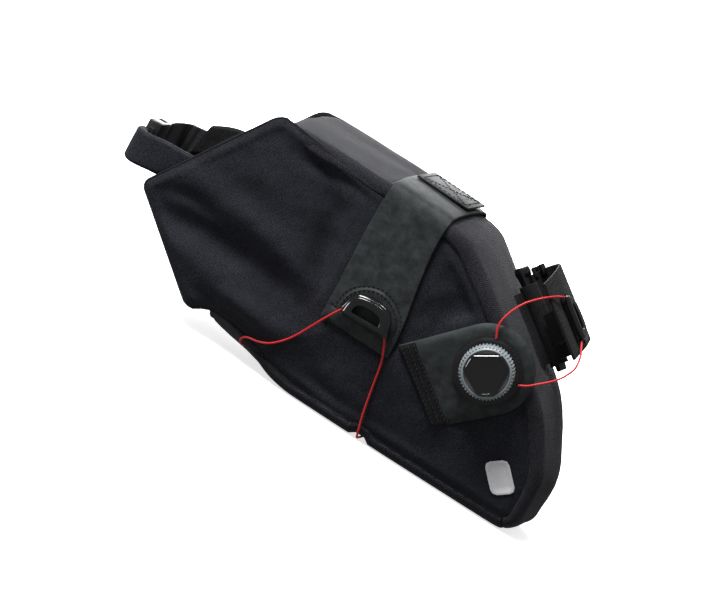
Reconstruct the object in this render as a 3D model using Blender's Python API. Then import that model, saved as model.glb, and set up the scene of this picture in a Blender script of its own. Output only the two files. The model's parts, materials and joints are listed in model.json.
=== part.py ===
"""A roll-top saddle bag for a bicycle, with two lace dials, a saddle-rail strap and a seatpost band.

Metres. +X points to the nose of the bag, +Z is up and the near side, with the front dial, is at -Y.
The bag stands on the flat of its base, and the origin is the centre of that flat.
"""

import math

import bmesh
import bpy
from mathutils import Vector

MM = 0.001

# Driving dimensions, in millimetres.
TOP_HEIGHT = 128.5
NOSE_X = 77.0
BASE_FLAT = 76.0
REAR_TOP = (-142.0, 126.0)
REAR_EAR = (-188.0, 53.0)
REAR_BASE = (-129.0, 7.5)
HALF_WIDTH_NOSE = 31.0
HALF_WIDTH_REAR = 52.0
WIDTH_RUN = 165.0
BASE_TAPER = 0.12
SHELL = 2.0
GAP = 0.4
SEAM_GAP = 0.7
TOP_WRAP = 9.0
BASE_WRAP = 6.0
WRAP_AT_REAR = 3.2
CROWN = 2.0
LACE = 1.2
LACE_GROOVE_X = -16.0
# Each stay's middle in the side view and its lean; its thickness, height and length across the bag.
MOUTH_STAYS = (
    ("mouth_stay_upper", -139.4, 90.0, math.radians(-17)),
    ("mouth_stay_lower", -148.4, 70.0, math.radians(-48)),
)
STAY_SIZE = (2.0, 10.0, 80.0)
STIFFENER_Z = (5.2, 6.8)

STRAP_TOP_X = (-71.0, -34.0)
STRAP_NEAR_X = (-66.5, -23.5)
STRAP_FAR_X = (-69.0, -27.0)
STRAP_END_Z = 47.5
STRAP_THICK = 1.6
STRAP_LIFT = STRAP_THICK + 0.9
PATCH_Y = (-12.0, 32.0)
GUIDE_AT = (-44.0, 57.0)

DIAL_X, DIAL_Z, DIAL_TURN = 24.5, 72.0, math.radians(10)
FAR_DIAL_X, FAR_DIAL_Z, FAR_DIAL_TURN = -48.0, 68.0, math.radians(4)
FLANGE_R, GRIP_R = 19.0, 15.0
TAB_R = 25.0

SLOPE_START = Vector((0.0, 0.0, 112.0))
SLOPE_TURN = math.atan2(-57.0, 82.0)
ROD_LIFT = 9.8
SLEEVE_R = 5.2
BAND_START, BAND_LENGTH = 8.0, 44.0
BAND_THICK = 1.8
BAND_SLANT = 0.22

ROLL_START = Vector((-174.0, 0.0, 70.0))
ROLL_TURN = math.radians(4)
ROLL_WIDTH, ROLL_THICK = 19.0, 6.0
ROLL_LEAN, ROLL_LEAN_REACH = 1.05, 20.0
ROLL_HALF_Y, ROLL_REACH = 41.5, 30.0
ROLL_TIP = 27.0
WEB_WIDTH, WEB_THICK = 18.0, 2.4
BUCKLE_WIDTH = 25.0

MARK_AT, MARK_SIZE, MARK_ROUND = (57.0, 25.0), (12.5, 17.5), 3.0
MARK_TURN = math.radians(-40)

SHELL_GREY = (0.013, 0.013, 0.018)
TOP_GREY = (0.045, 0.045, 0.051)
STRAP_GREY = (0.035, 0.040, 0.042)
BLACK = (0.012, 0.012, 0.013)
GLOSS_BLACK = (0.006, 0.006, 0.007)
GRIP_GREY = (0.35, 0.39, 0.41)
LACE_RED = (0.80, 0.015, 0.02)
STEEL_GREY = (0.45, 0.46, 0.47)
MARK_GREY = (0.62, 0.62, 0.64)


def material(name, colour, roughness, metallic=0.0):
    made = bpy.data.materials.new(name)
    made.use_nodes = True
    shader = made.node_tree.nodes["Principled BSDF"]
    shader.inputs["Base Color"].default_value = (*colour, 1)
    shader.inputs["Roughness"].default_value = roughness
    shader.inputs["Metallic"].default_value = metallic
    return made


def place(name, mesh, colour, roughness, smooth=True, metallic=0.0):
    obj = bpy.data.objects.new(name, mesh)
    bpy.context.scene.collection.objects.link(obj)
    mesh.materials.append(material(name, colour, roughness, metallic))
    if smooth:
        mesh.shade_smooth()
        mesh.set_sharp_from_angle(angle=math.radians(35))
    return obj


def loft(name, rings, colour, roughness, around=False, metallic=0.0):
    """A closed solid through rings of equal counts. With around, the last ring joins the first."""
    bm = bmesh.new()
    rows = [[bm.verts.new(Vector(p) * MM) for p in ring] for ring in rings]
    pairs = list(zip(rows, rows[1:] + ([rows[0]] if around else [])))
    for lower, upper in pairs:
        for i in range(len(lower)):
            j = (i + 1) % len(lower)
            bm.faces.new((lower[i], lower[j], upper[j], upper[i]))
    if not around:
        bm.faces.new(rows[0][::-1])
        bm.faces.new(rows[-1])
    bmesh.ops.recalc_face_normals(bm, faces=bm.faces[:])
    mesh = bpy.data.meshes.new(name)
    bm.to_mesh(mesh)
    bm.free()
    return place(name, mesh, colour, roughness, metallic=metallic)


def sheet(name, rows, thickness, colour, roughness):
    """A grid of points, turned to face away from the bag's middle, thickened inwards."""
    bm = bmesh.new()
    grid = [[bm.verts.new(Vector(p) * MM) for p in row] for row in rows]
    for row, after in zip(grid, grid[1:]):
        for i in range(len(row) - 1):
            bm.faces.new((row[i], row[i + 1], after[i + 1], after[i]))
    return thicken(name, bm, thickness, colour, roughness)


def thicken(name, bm, thickness, colour, roughness):
    bm.normal_update()
    inside = Vector((-50, 0, 62)) * MM
    outward = sum(f.normal.dot(f.calc_center_median() - inside) * f.calc_area() for f in bm.faces)
    if outward < 0:
        bmesh.ops.reverse_faces(bm, faces=bm.faces[:])
    mesh = bpy.data.meshes.new(name)
    bm.to_mesh(mesh)
    bm.free()
    obj = place(name, mesh, colour, roughness)
    solid = obj.modifiers.new("Thickness", "SOLIDIFY")
    solid.thickness = thickness * MM
    solid.offset = -1
    return obj


class Frame:
    """A place with three directions: points are given as (across, up, out)."""

    def __init__(self, origin, across, up, out):
        self.origin, self.across, self.up, self.out = map(Vector, (origin, across, up, out))

    def at(self, a, b, c):
        return self.origin + self.across * a + self.up * b + self.out * c


def half_width(x):
    run = min(max((NOSE_X - x) / WIDTH_RUN, 0.0), 1.0)
    return HALF_WIDTH_NOSE + (HALF_WIDTH_REAR - HALF_WIDTH_NOSE) * math.sin(run * math.pi / 2)


def side_y(x, z):
    """How far a side panel's outer face stands from the middle plane."""
    taper = 1 - BASE_TAPER * (1 - min(max(z / TOP_HEIGHT, 0.0), 1.0))
    bulge_x = max(0.0, 1 - ((x + 55) / 118) ** 2)
    bulge_z = max(0.0, 1 - ((z - 62) / 54) ** 2)
    return half_width(x) * taper + 3.0 * bulge_x * bulge_z


def rounded(corners, closed=True, arc_step=math.radians(16), longest=14.0):
    """The polyline through corners of (x, z, radius), and the arc's middle index for each corner."""
    points, marks = [], []
    count = len(corners)
    for i, (x, z, radius) in enumerate(corners):
        here = Vector((x, z))
        if not closed and i in (0, count - 1):
            arc = [here]
        else:
            before = (Vector(corners[i - 1][:2]) - here).normalized()
            after = (Vector(corners[(i + 1) % count][:2]) - here).normalized()
            half = before.angle(after) / 2
            centre = here + (before + after).normalized() * radius / math.sin(half)
            spoke = here + before * radius / math.tan(half) - centre
            end = here + after * radius / math.tan(half) - centre
            turn = math.atan2(spoke.cross(end), spoke.dot(end))
            steps = max(2, math.ceil(abs(turn) / arc_step))
            arc = []
            for k in range(steps + 1):
                angle = turn * k / steps
                c, s = math.cos(angle), math.sin(angle)
                arc.append(centre + Vector((spoke.x * c - spoke.y * s, spoke.x * s + spoke.y * c)))
        if points:
            points += between(points[-1], arc[0], longest)
        marks.append(len(points) + len(arc) // 2)
        points += arc
    if closed:
        points += between(points[-1], points[0], longest)
    return points, marks


def between(a, b, longest):
    steps = max(1, math.ceil((b - a).length / longest))
    return [a.lerp(b, k / steps) for k in range(1, steps)]


class Outline:
    """The side profile as a closed line, read by the distance along it."""

    def __init__(self, points, marks):
        self.points = points
        self.run = [0.0]
        for a, b in zip(points, points[1:] + points[:1]):
            self.run.append(self.run[-1] + (b - a).length)
        self.length = self.run[-1]
        self.marks = [self.run[m] for m in marks]

    def at(self, s):
        s %= self.length
        i = max(k for k in range(len(self.points)) if self.run[k] <= s + 1e-9)
        a, b = self.points[i], self.points[(i + 1) % len(self.points)]
        return a.lerp(b, (s - self.run[i]) / (self.run[i + 1] - self.run[i]))

    def normal(self, s, reach=2.5):
        along = (self.at(s + reach) - self.at(s - reach)).normalized()
        return Vector((-along.y, along.x))

    def stations(self, first, last):
        inner = [s for s in self.run[:-1] if first + 1.5 < s < last - 1.5]
        return [first] + inner + [last]

    def at_x(self, x, first, last):
        """The distance at which the profile, between two stations, passes x."""
        low, high = first, last
        for _ in range(40):
            middle = (low + high) / 2
            if self.at(middle).x < x:
                low = middle
            else:
                high = middle
        return low


GROOVE = [
    (LACE_GROOVE_X + 6, 0, 1.5),
    (LACE_GROOVE_X + 2.6, 2.4, 1.5),
    (LACE_GROOVE_X - 2.6, 2.4, 1.5),
    (LACE_GROOVE_X - 6, 0, 1.5),
]
PROFILE = Outline(
    *rounded(
        [
            (*REAR_TOP, 11),
            (-58, TOP_HEIGHT, 120),
            (-22, 127, 35),
            (60, 70, 45),
            (NOSE_X, 38, 30),
            (NOSE_X, 0, 11),
            *GROOVE,
            (-BASE_FLAT, 0, 45),
            (*REAR_BASE, 26),
            (*REAR_EAR, 5),
        ]
    )
)
REAR_TOP_S = PROFILE.marks[0]
NOSE_FOOT_S = PROFILE.marks[5]
REAR_BASE_S = PROFILE.marks[11]
EAR_S = PROFILE.marks[12]
TOP_S = REAR_TOP_S + 5
BASE_END_S = REAR_BASE_S - 6
SPLIT_S = PROFILE.at_x(-48, TOP_S, NOSE_FOOT_S - 90)
BASE_S = NOSE_FOOT_S + 4


def ease(value):
    value = min(max(value, 0.0), 1.0)
    return value * value * (3 - 2 * value)


def wrap(s):
    """How far the top, nose and base panels turn down over the side panels, or 0 at the rear."""
    if s < TOP_S or s > BASE_END_S:
        return 0.0
    if s < NOSE_FOOT_S:
        full = TOP_WRAP + (BASE_WRAP - TOP_WRAP) * ease((s - NOSE_FOOT_S + 60) / 60)
        return WRAP_AT_REAR + (full - WRAP_AT_REAR) * ease((s - TOP_S) / 14)
    return WRAP_AT_REAR + (BASE_WRAP - WRAP_AT_REAR) * ease((BASE_END_S - s) / 14)


def hoop(name, first, last, crown, colour):
    """A panel that follows the profile and turns down over both sides."""
    rows = []
    for s in PROFILE.stations(first, last):
        at, out, deep = PROFILE.at(s), PROFILE.normal(s), wrap(s)
        rise = crown * ease((NOSE_FOOT_S - s) / 40)
        near = []
        for drop, inset in ((deep, 0), (deep * 0.55, 0), (1.5, 1.6), (0.3, 4), (0, 8)):
            p = at - out * drop
            near.append(Vector((p.x, inset - side_y(p.x, p.y), p.y)))
        half = near[-1].y / 2
        p = at + out * rise * 0.75
        quarter = Vector((p.x, half, p.y))
        p = at + out * rise
        row = near + [quarter, Vector((p.x, 0, p.y))]
        rows.append(row + [Vector((q.x, -q.y, q.z)) for q in row[-2::-1]])
    return sheet(name, rows, SHELL, colour, 0.8)


def skin(name, outline, side, lift, thickness, colour, roughness=0.8, rings=(1, 0.66, 0.3)):
    """A patch that lies on a side panel: its outline in (x, z), filled towards its middle."""
    middle = sum(outline, Vector((0, 0))) / len(outline)
    bm = bmesh.new()
    rows = []
    for share in rings:
        ring = []
        for p in outline:
            q = middle.lerp(p, share)
            ring.append(bm.verts.new(Vector((q.x, side * (side_y(q.x, q.y) + lift), q.y)) * MM))
        rows.append(ring)
    for outer, inner in zip(rows, rows[1:]):
        for i in range(len(outer)):
            j = (i + 1) % len(outer)
            bm.faces.new((outer[i], outer[j], inner[j], inner[i]))
    bm.faces.new(rows[-1])
    return thicken(name, bm, thickness, colour, roughness)


def side_panels():
    outline = []
    first, last = TOP_S - 2 * SEAM_GAP, BASE_END_S + 2 * SEAM_GAP
    for s in sorted(PROFILE.stations(0.0, PROFILE.length - 0.5) + [first, last]):
        deep = wrap(min(max(s, TOP_S), BASE_END_S)) + SEAM_GAP if first <= s <= last else 0
        outline.append(PROFILE.at(s) - PROFILE.normal(s) * deep)
    outline = [p for p, q in zip(outline, outline[1:] + outline[:1]) if (p - q).length > 0.4]
    skin("side_panel_near", outline, -1, 0, SHELL, SHELL_GREY)
    skin("side_panel_far", outline, 1, 0, SHELL, SHELL_GREY)


def rear_panel(name, corners):
    """A panel set in between the two side panels, along a line of (x, z, radius)."""
    line, _ = rounded(corners, closed=False)
    rows = []
    for p in line:
        edge = side_y(p.x, p.y) - SHELL - SEAM_GAP
        rows.append([(p.x, edge * share, p.y) for share in (-1, -0.6, -0.2, 0.2, 0.6, 1)])
    return sheet(name, rows, SHELL, SHELL_GREY, 0.8)


def shell():
    hoop("top_panel", TOP_S, SPLIT_S - GAP, CROWN, TOP_GREY)
    hoop("nose_panel", SPLIT_S, NOSE_FOOT_S + 3.5, CROWN, TOP_GREY)
    hoop("base_panel", BASE_S, BASE_END_S, 0.0, SHELL_GREY)
    side_panels()
    rear_panel("rear_upper_panel", [(-138.5, 122.5, 0), (-142, 105, 20), (-147.5, 84, 0)])
    rear_panel("rear_lower_panel", [(-125, 10.0, 0), (-182.5, 53, 5), (-168, 70, 14), (-157, 80, 0)])
    for name, x, z, lean in MOUTH_STAYS:
        along = Vector((-math.sin(lean), math.cos(lean))) * STAY_SIZE[1] / 2
        aside = Vector((math.cos(lean), math.sin(lean))) * STAY_SIZE[0] / 2
        corners = [Vector((x, z)) + p for p in (-aside - along, aside - along, aside + along, along - aside)]
        rings = [[(p.x, y, p.y) for p in corners] for y in (-STAY_SIZE[2] / 2, STAY_SIZE[2] / 2)]
        loft(name, rings, BLACK, 0.5)
    near_edge = [(-72, -38), (-20, -35), (30, -29), (58, -22)]
    plate = near_edge + [(x, -y) for x, y in near_edge[::-1]]
    loft("base_stiffener", [[(x, y, h) for x, y in plate] for h in STIFFENER_Z], BLACK, 0.5)


def top_z(x):
    """The height of the crown line at x."""
    s = PROFILE.at_x(x, TOP_S, NOSE_FOOT_S - 60)
    return (PROFILE.at(s) + PROFILE.normal(s) * CROWN).y


def rail_strap():
    """The strap over the top of the bag, down to the lace guide on one side and a dial on the other."""
    heights = (STRAP_END_Z, 62, 75, 90, 105, 117)
    rows = []
    for k in range(6):
        share = k / 5
        top_x = STRAP_TOP_X[0] + (STRAP_TOP_X[1] - STRAP_TOP_X[0]) * share
        sides = []
        for side, end_x in ((-1, STRAP_NEAR_X), (1, STRAP_FAR_X)):
            foot_x = end_x[0] + (end_x[1] - end_x[0]) * share
            line = []
            for z in heights:
                x = foot_x + (top_x - foot_x) * ease((z - STRAP_END_Z) / 72)
                line.append(Vector((x, side * (side_y(x, z) + STRAP_LIFT), z)))
            reach, top = side_y(top_x, 124), top_z(top_x)
            over = ((STRAP_LIFT - 0.6, -6.5), (-0.4, -1.4), (-5.5, STRAP_LIFT - 2.0), (-reach * 0.5, STRAP_LIFT - 0.3))
            line += [Vector((top_x, side * (reach + out), top + rise)) for out, rise in over]
            sides.append(line)
        crest = Vector((top_x, 0, top_z(top_x) + STRAP_LIFT))
        rows.append(sides[0] + [crest] + sides[1][::-1])
    sheet("rail_strap", rows, STRAP_THICK, STRAP_GREY, 0.85)
    z = top_z(-52) + STRAP_LIFT + GAP
    patch = [(-69, PATCH_Y[0]), (-35.5, PATCH_Y[0]), (-35.5, PATCH_Y[1]), (-69, PATCH_Y[1])]
    loft("rail_patch", [[(x, y, z + h) for x, y in patch] for h in (0, 1.2)], STRAP_GREY, 0.85)


def lace_guide(name, frame, wide, high, colour=GLOSS_BLACK):
    """A D-shaped guide whose lace runs in an open groove round its arch, with a slot through it."""

    def arch(half, rise, base, lift):
        ring = [frame.at(half, base, lift)]
        for k in range(9):
            angle = math.pi * k / 8
            corner = abs(math.cos(angle)) ** 0.6 * math.copysign(1, math.cos(angle))
            ring.append(frame.at(half * corner, base + rise * (0.25 + 0.75 * math.sin(angle)), lift))
        ring.append(frame.at(-half, base, lift))
        return ring

    half = wide / 2
    waist = 2.0
    slot = (half - 5.5, high - 7.6, 2.8)
    rings = [
        arch(*slot, 0),
        arch(half, high, 0, 0),
        arch(half, high, 0, 1.1),
        arch(half - waist, high - waist, 0, 1.4),
        arch(half - waist, high - waist, 0, 3.2),
        arch(half, high, 0, 3.5),
        arch(half - 0.6, high - 0.6, 0.2, 4.6),
        arch(half - 2.0, high - 2.2, 0.8, 5.1),
        arch(slot[0] + 0.6, slot[1] + 0.6, slot[2] - 0.4, 4.9),
        arch(*slot, 4.2),
    ]
    return loft(name, rings, colour, 0.2, around=True)


def lathe(name, frame, profile, segments, colour, roughness, around=False, metallic=0.0):
    rings = []
    for radius, height in profile:
        turn = [2 * math.pi * k / segments for k in range(segments)]
        rings.append([frame.at(radius * math.cos(a), radius * math.sin(a), height) for a in turn])
    return loft(name, rings, colour, roughness, around, metallic)


def dial(side, frame):
    """A ratchet dial on its tab: housing, axle, spool, knurled grip ring and three-lobed cap."""
    housing = [
        (2.0, 0.4), (FLANGE_R, 0.4), (FLANGE_R, 1.6), (17.6, 2.4),
        (17.2, 5.4), (14.6, 5.4), (14.6, 2.2), (2.0, 2.2),
    ]
    lathe(f"dial_housing_{side}", frame, housing, 32, BLACK, 0.45, around=True)
    lathe(f"dial_axle_{side}", frame, [(1.6, 0.0), (1.6, 12.6)], 12, STEEL_GREY, 0.3, metallic=1.0)
    spool = [
        (2.0, 2.6), (13.6, 2.6), (13.6, 3.4), (11.0, 3.9), (13.6, 4.4),
        (13.6, 5.2), (6.2, 5.2), (6.2, 9.0), (2.0, 9.0),
    ]
    lathe(f"dial_spool_{side}", frame, spool, 24, BLACK, 0.5, around=True)
    grip = [
        (6.6, 5.8), (GRIP_R + 0.6, 5.8), (GRIP_R + 0.6, 7.0), (GRIP_R, 7.6), (GRIP_R, 13.2),
        (GRIP_R - 1.6, 14.4), (GRIP_R - 3.4, 14.4), (GRIP_R - 3.4, 12.9), (6.6, 12.9),
    ]
    lathe(f"dial_grip_{side}", frame, grip, 32, GRIP_GREY, 0.35, around=True)
    rings = []
    for scale, height in ((0.94, 13.2), (1.0, 13.8), (1.0, 15.4), (0.94, 16.2), (0.7, 16.6)):
        ring = []
        for k in range(30):
            angle = 2 * math.pi * k / 30
            radius = 10.3 * scale * (1 + 0.07 * math.cos(3 * (angle - math.pi / 2)))
            ring.append(frame.at(radius * math.cos(angle), radius * math.sin(angle), height))
        rings.append(ring)
    loft(f"dial_cap_{side}", rings, GLOSS_BLACK, 0.1)


def dial_frame(side, x, z, turn, lift):
    out = Vector((math.sin(turn), side * math.cos(turn), 0))
    across = Vector((math.cos(turn), -side * math.sin(turn), 0))
    return Frame((x, side * (side_y(x, z) + lift), z), across, (0, 0, 1), out)


def dials():
    lean = math.radians(46)
    tab = [Vector((-47, -15)), Vector((-9, -43.5))]
    for k in range(11):
        angle = lean - math.pi / 2 + math.pi * k / 10
        tab.append(Vector((math.cos(angle), math.sin(angle))) * TAB_R)
    outline = [p + Vector((DIAL_X, DIAL_Z)) for p in tab]
    skin("dial_tab_near", outline, -1, 2.2, 1.8, STRAP_GREY, rings=(1, 0.6, 0.2))
    dial("near", dial_frame(-1, DIAL_X, DIAL_Z, DIAL_TURN, 3.4))
    disc = []
    for k in range(16):
        angle = 2 * math.pi * k / 16
        disc.append(Vector((FAR_DIAL_X, FAR_DIAL_Z)) + Vector((math.cos(angle), math.sin(angle))) * 19.4)
    skin("dial_seat_far", disc, 1, 4.4, 1.4, STRAP_GREY, rings=(1, 0.6, 0.2))
    dial("far", dial_frame(1, FAR_DIAL_X, FAR_DIAL_Z, FAR_DIAL_TURN, 5.6))


def rail_guide():
    x, z = GUIDE_AT
    lift = side_y(x, z + 4) + STRAP_LIFT + 1.3
    frame = Frame((x, -lift, z), (0.998, 0, 0.06), (-0.06, 0, 0.998), (0, -1, 0))
    lace_guide("rail_guide", frame, 27, 13.5)
    corners = ((-20, 1.0), (20, 1.0), (20, 8.0), (-20, 8.0))
    flap = [Vector((x - 1.5 + a, STRAP_END_Z + b)) for a, b in corners]
    skin("strap_end_flap", flap, -1, STRAP_LIFT + 1.5, 1.1, STRAP_GREY, rings=(1, 0.5))


def smooth_line(route, spacing):
    """Points along a smooth curve through the route's own points."""
    route = [Vector(p) for p in route]
    ends = [route[0] * 2 - route[1]] + route + [route[-1] * 2 - route[-2]]
    line = [route[0]]
    for before, a, b, after in zip(ends, ends[1:], ends[2:], ends[3:]):
        steps = max(2, round((b - a).length / spacing))
        for k in range(1, steps + 1):
            t = k / steps
            line.append(
                0.5
                * (
                    2 * a
                    + (b - before) * t
                    + (2 * before - 5 * a + 4 * b - after) * t**2
                    + (3 * a - before - 3 * b + after) * t**3
                )
            )
    return line


def lace(name, route, spacing):
    line = smooth_line(route, spacing)
    curve = bpy.data.curves.new(name, "CURVE")
    curve.dimensions = "3D"
    curve.bevel_depth = LACE / 2 * MM
    curve.bevel_resolution = 2
    curve.use_fill_caps = True
    spline = curve.splines.new("POLY")
    spline.points.add(len(line) - 1)
    for point, place_at in zip(spline.points, line):
        point.co = (*(place_at * MM), 1)
    obj = bpy.data.objects.new(name, curve)
    obj.data.materials.append(material(name, LACE_RED, 0.5))
    bpy.context.scene.collection.objects.link(obj)
    return obj


# The laces' own routes, point by point.
RAIL_LACE = [
    (-66.5, 61.8, 62.0), (-71.0, 60.0, 54.0), (-79.0, 57.5, 38.0), (-88.5, 54.5, 20.0), (-95.0, 50.0, 8.0),
    (-97.0, 45.5, 2.4), (-97.0, 36.0, 1.9), (-97.0, 0.0, 1.9), (-97.0, -36.0, 1.9),
    (-97.6, -44.6, 2.4), (-97.2, -48.2, 5.8), (-94.6, -49.2, 9.2), (-87.6, -49.6, 13.1), (-81.0, -50.2, 18.8),
    (-73.7, -51.4, 28.2), (-67.8, -53.2, 39.0), (-63.6, -55.2, 47.2), (-60.2, -56.0, 53.4), (-57.4, -56.1, 58.4),
    (-56.2, -56.1, 62.9), (-54.6, -56.1, 66.1), (-51.7, -56.1, 68.3), (-44.7, -56.1, 69.4), (-37.7, -56.1, 69.1),
    (-34.5, -56.1, 67.3), (-32.6, -56.1, 64.4), (-31.6, -56.1, 60.8), (-30.2, -55.7, 57.4), (-28.2, -54.6, 53.5),
    (-26.2, -53.0, 48.4), (-24.6, -50.4, 42.4), (-22.2, -47.6, 28.5), (-19.3, -45.6, 14.2), (-17.3, -44.5, 7.0),
    (-16.2, -42.9, 2.4), (-16.0, -36.0, 1.2), (-16.0, 0.0, 1.2), (-16.0, 36.0, 1.2), (-16.2, 43.9, 2.2),
    (-18.0, 48.6, 9.5), (-21.6, 52.4, 24.0), (-24.4, 56.0, 40.0), (-27.6, 59.4, 52.0), (-30.4, 61.4, 60.0),
]
POST_LACE = [
    (19.9, -48.0, 89.2), (17.2, -47.8, 95.5), (17.8, -45.8, 103.0), (21.1, -41.6, 111.3), (25.7, -36.0, 117.3),
    (31.0, -28.5, 122.0), (34.4, -21.8, 123.8), (35.8, -18.2, 124.0), (36.6, -15.4, 123.6), (38.4, -13.2, 122.6),
    (41.0, -11.8, 121.2), (46.2, -11.3, 118.0), (51.4, -11.8, 114.4), (53.7, -13.2, 112.5), (55.0, -15.4, 111.0),
    (55.6, -18.4, 109.6), (57.4, -21.5, 107.0), (60.4, -25.0, 102.6), (62.0, -29.4, 96.6), (60.9, -33.0, 92.2),
    (58.9, -36.0, 88.2), (55.8, -39.0, 84.4), (51.8, -41.6, 80.6), (47.2, -43.2, 76.4), (42.9, -44.0, 74.0),
]


def laces():
    lace("lace_rail", RAIL_LACE, spacing=8.0)
    lace("lace_post", POST_LACE, spacing=6.0)


def slope_frame():
    """Across runs down the nose slope, up runs towards the far side and out stands off the slope."""
    across = Vector((math.cos(SLOPE_TURN), 0, math.sin(SLOPE_TURN)))
    out = Vector((-math.sin(SLOPE_TURN), 0, math.cos(SLOPE_TURN)))
    return Frame(SLOPE_START, across, (0, 1, 0), out)


def ribbon(name, line, thick, low, high, point, colour, roughness=0.8, chamfer=0.0):
    """A flat band along a line of (a, b), from low to high across, with point(a, b, across)."""
    rings = []
    for i, (a, b) in enumerate(line):
        before = Vector(line[max(i - 1, 0)])
        after = Vector(line[min(i + 1, len(line) - 1)])
        along = (after - before).normalized()
        side = Vector((-along.y, along.x)) * thick / 2
        here = Vector((a, b))
        first, last = low + chamfer, high - chamfer
        corners = (
            (1, first), (1, last), (0.4, high), (-0.4, high),
            (-1, last), (-1, first), (-0.4, low), (0.4, low),
        )
        ring = []
        for share, across in corners:
            p = here + side * share
            ring.append(point(p.x, p.y, across))
        rings.append(ring)
    return loft(name, rings, colour, roughness)


def post_band_path():
    """The band's own line as (out, across): round the far side, and back to its free end on the near side."""
    path, _ = rounded(
        [
            (ROD_LIFT + 1.0, 8.3, 0), (ROD_LIFT + 9.5, 13.0, 6), (ROD_LIFT + 19.5, 11.0, 7),
            (ROD_LIFT + 18.5, -8.0, 24), (ROD_LIFT + 14.0, -29.0, 0),
        ],
        closed=False, arc_step=math.radians(24), longest=12,
    )
    return path


def post_guide_frame():
    """The guide's place on the band, near its free end: across runs down the slope, up away from the end."""
    f = slope_frame()
    path = post_band_path()
    along = (path[-1] - path[-2]).normalized()
    outward = Vector((along.y, -along.x))
    if outward.x < 0:
        outward = -outward
    seat = path[-1] - along * 9.5 + outward * (BAND_THICK / 2 + GAP)
    up = f.out * -along.x + f.up * -along.y
    out = f.out * outward.x + f.up * outward.y
    return Frame(f.at(BAND_START + 26.5, seat.y, seat.x), f.across, up, out)


def seatpost_band():
    """Sleeve and rod on the nose slope, and the open band that the front lace closes on a seatpost."""
    f = slope_frame()
    start, end = BAND_START, BAND_START + BAND_LENGTH

    def straight(a, b, c):
        return f.at(c, b, a)

    def slanted(a, b, c):
        return f.at(c - BAND_SLANT * (b + 13), b, a)

    turned = Frame(f.at(0, 0, ROD_LIFT), f.up, f.out, f.across)
    sleeve = [(3.9, start), (SLEEVE_R, start), (SLEEVE_R, end + 2), (3.9, end + 2)]
    lathe("post_sleeve", turned, sleeve, 20, BLACK, 0.8, around=True)
    head = [(2.2, -2.5), (4.0, -2.0), (4.8, 0.2), (4.2, 3.0), (3.3, 4.6)]
    rod = head + [(3.3, end + 4.5), (2.6, end + 5.5)]
    lathe("post_rod", turned, rod, 16, BLACK, 0.3)
    ribbon("post_band", post_band_path(), BAND_THICK, start, end, slanted, BLACK, chamfer=0.3)
    lace_guide("post_guide", post_guide_frame(), 26, 10.5, BLACK)
    inner = [(ROD_LIFT + 3.4, -7.4), (ROD_LIFT + 8.0, -14.0), (ROD_LIFT + 12.2, -19.0)]
    ribbon("post_webbing", inner, 1.2, start + 18, start + 36, straight, BLACK, chamfer=0.2)
    pull = [(ROD_LIFT + 4.6, -8.6), (ROD_LIFT + 9.0, -12.6), (ROD_LIFT + 13.0, -14.0)]
    ribbon("post_pull_tab", pull, 1.4, start + 36.6, start + 44, straight, BLACK, chamfer=0.2)
    hook_ring = []
    for k in range(9):
        angle = math.radians(-60 + 300 * k / 8)
        hook_ring.append((ROD_LIFT + 6.5 + 3.4 * math.cos(angle), 3.4 * math.sin(angle) + 11.5))
    ribbon("post_hook", hook_ring, 1.8, start - 13.0, start - 6.6, straight, BLACK, 0.3, chamfer=0.3)


def roll_frame():
    across = Vector((-math.cos(ROLL_TURN), 0, -math.sin(ROLL_TURN)))
    up = Vector((-math.sin(ROLL_TURN), 0, math.cos(ROLL_TURN)))
    return Frame(ROLL_START, across, (0, 1, 0), up)


def roll_top():
    """The rolled mouth: it lies on the rear slope, and its ends bend back and are joined by the buckle."""
    f = roll_frame()

    def flat(a, b, c):
        return f.at(a, b, c)

    def leaning(a, b, c):
        return f.at(a - ROLL_LEAN * c * min(max(1 - a / ROLL_LEAN_REACH, 0.0), 1.0), b, c)

    tip = ROLL_TIP
    path, _ = rounded(
        [
            (ROLL_REACH, -24, 0), (tip, -ROLL_HALF_Y, 10), (0, -ROLL_HALF_Y, 6), (0, ROLL_HALF_Y, 6),
            (tip - 11, ROLL_HALF_Y, 0),
        ],
        closed=False, arc_step=math.radians(24), longest=14,
    )
    half = ROLL_WIDTH / 2
    ribbon("roll_top", path, ROLL_THICK, -half, half, leaning, SHELL_GREY, chamfer=1.6)
    web = WEB_WIDTH / 2
    far, _ = rounded(
        [(tip - 7.5, ROLL_HALF_Y, 0), (tip, ROLL_HALF_Y, 7), (ROLL_REACH, 19.3, 0)],
        closed=False, arc_step=math.radians(24), longest=8,
    )
    ribbon("roll_webbing_far", far, WEB_THICK, -web, web, flat, BLACK, chamfer=0.4)
    near = [(ROLL_REACH, -23.6), (ROLL_REACH, -18.4)]
    ribbon("roll_webbing_near", near, WEB_THICK, -web, web, flat, BLACK, chamfer=0.4)
    buckle(f)


def box(name, frame, low, high, colour, roughness, soften=0.0):
    corners = [(low[0], low[1]), (high[0], low[1]), (high[0], high[1]), (low[0], high[1])]
    rings = [[frame.at(a, b, c) for a, b in corners] for c in (low[2], high[2])]
    obj = loft(name, rings, colour, roughness)
    if soften:
        edge = obj.modifiers.new("Softened edges", "BEVEL")
        edge.width = soften * MM
        edge.segments = 2
    return obj


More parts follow.
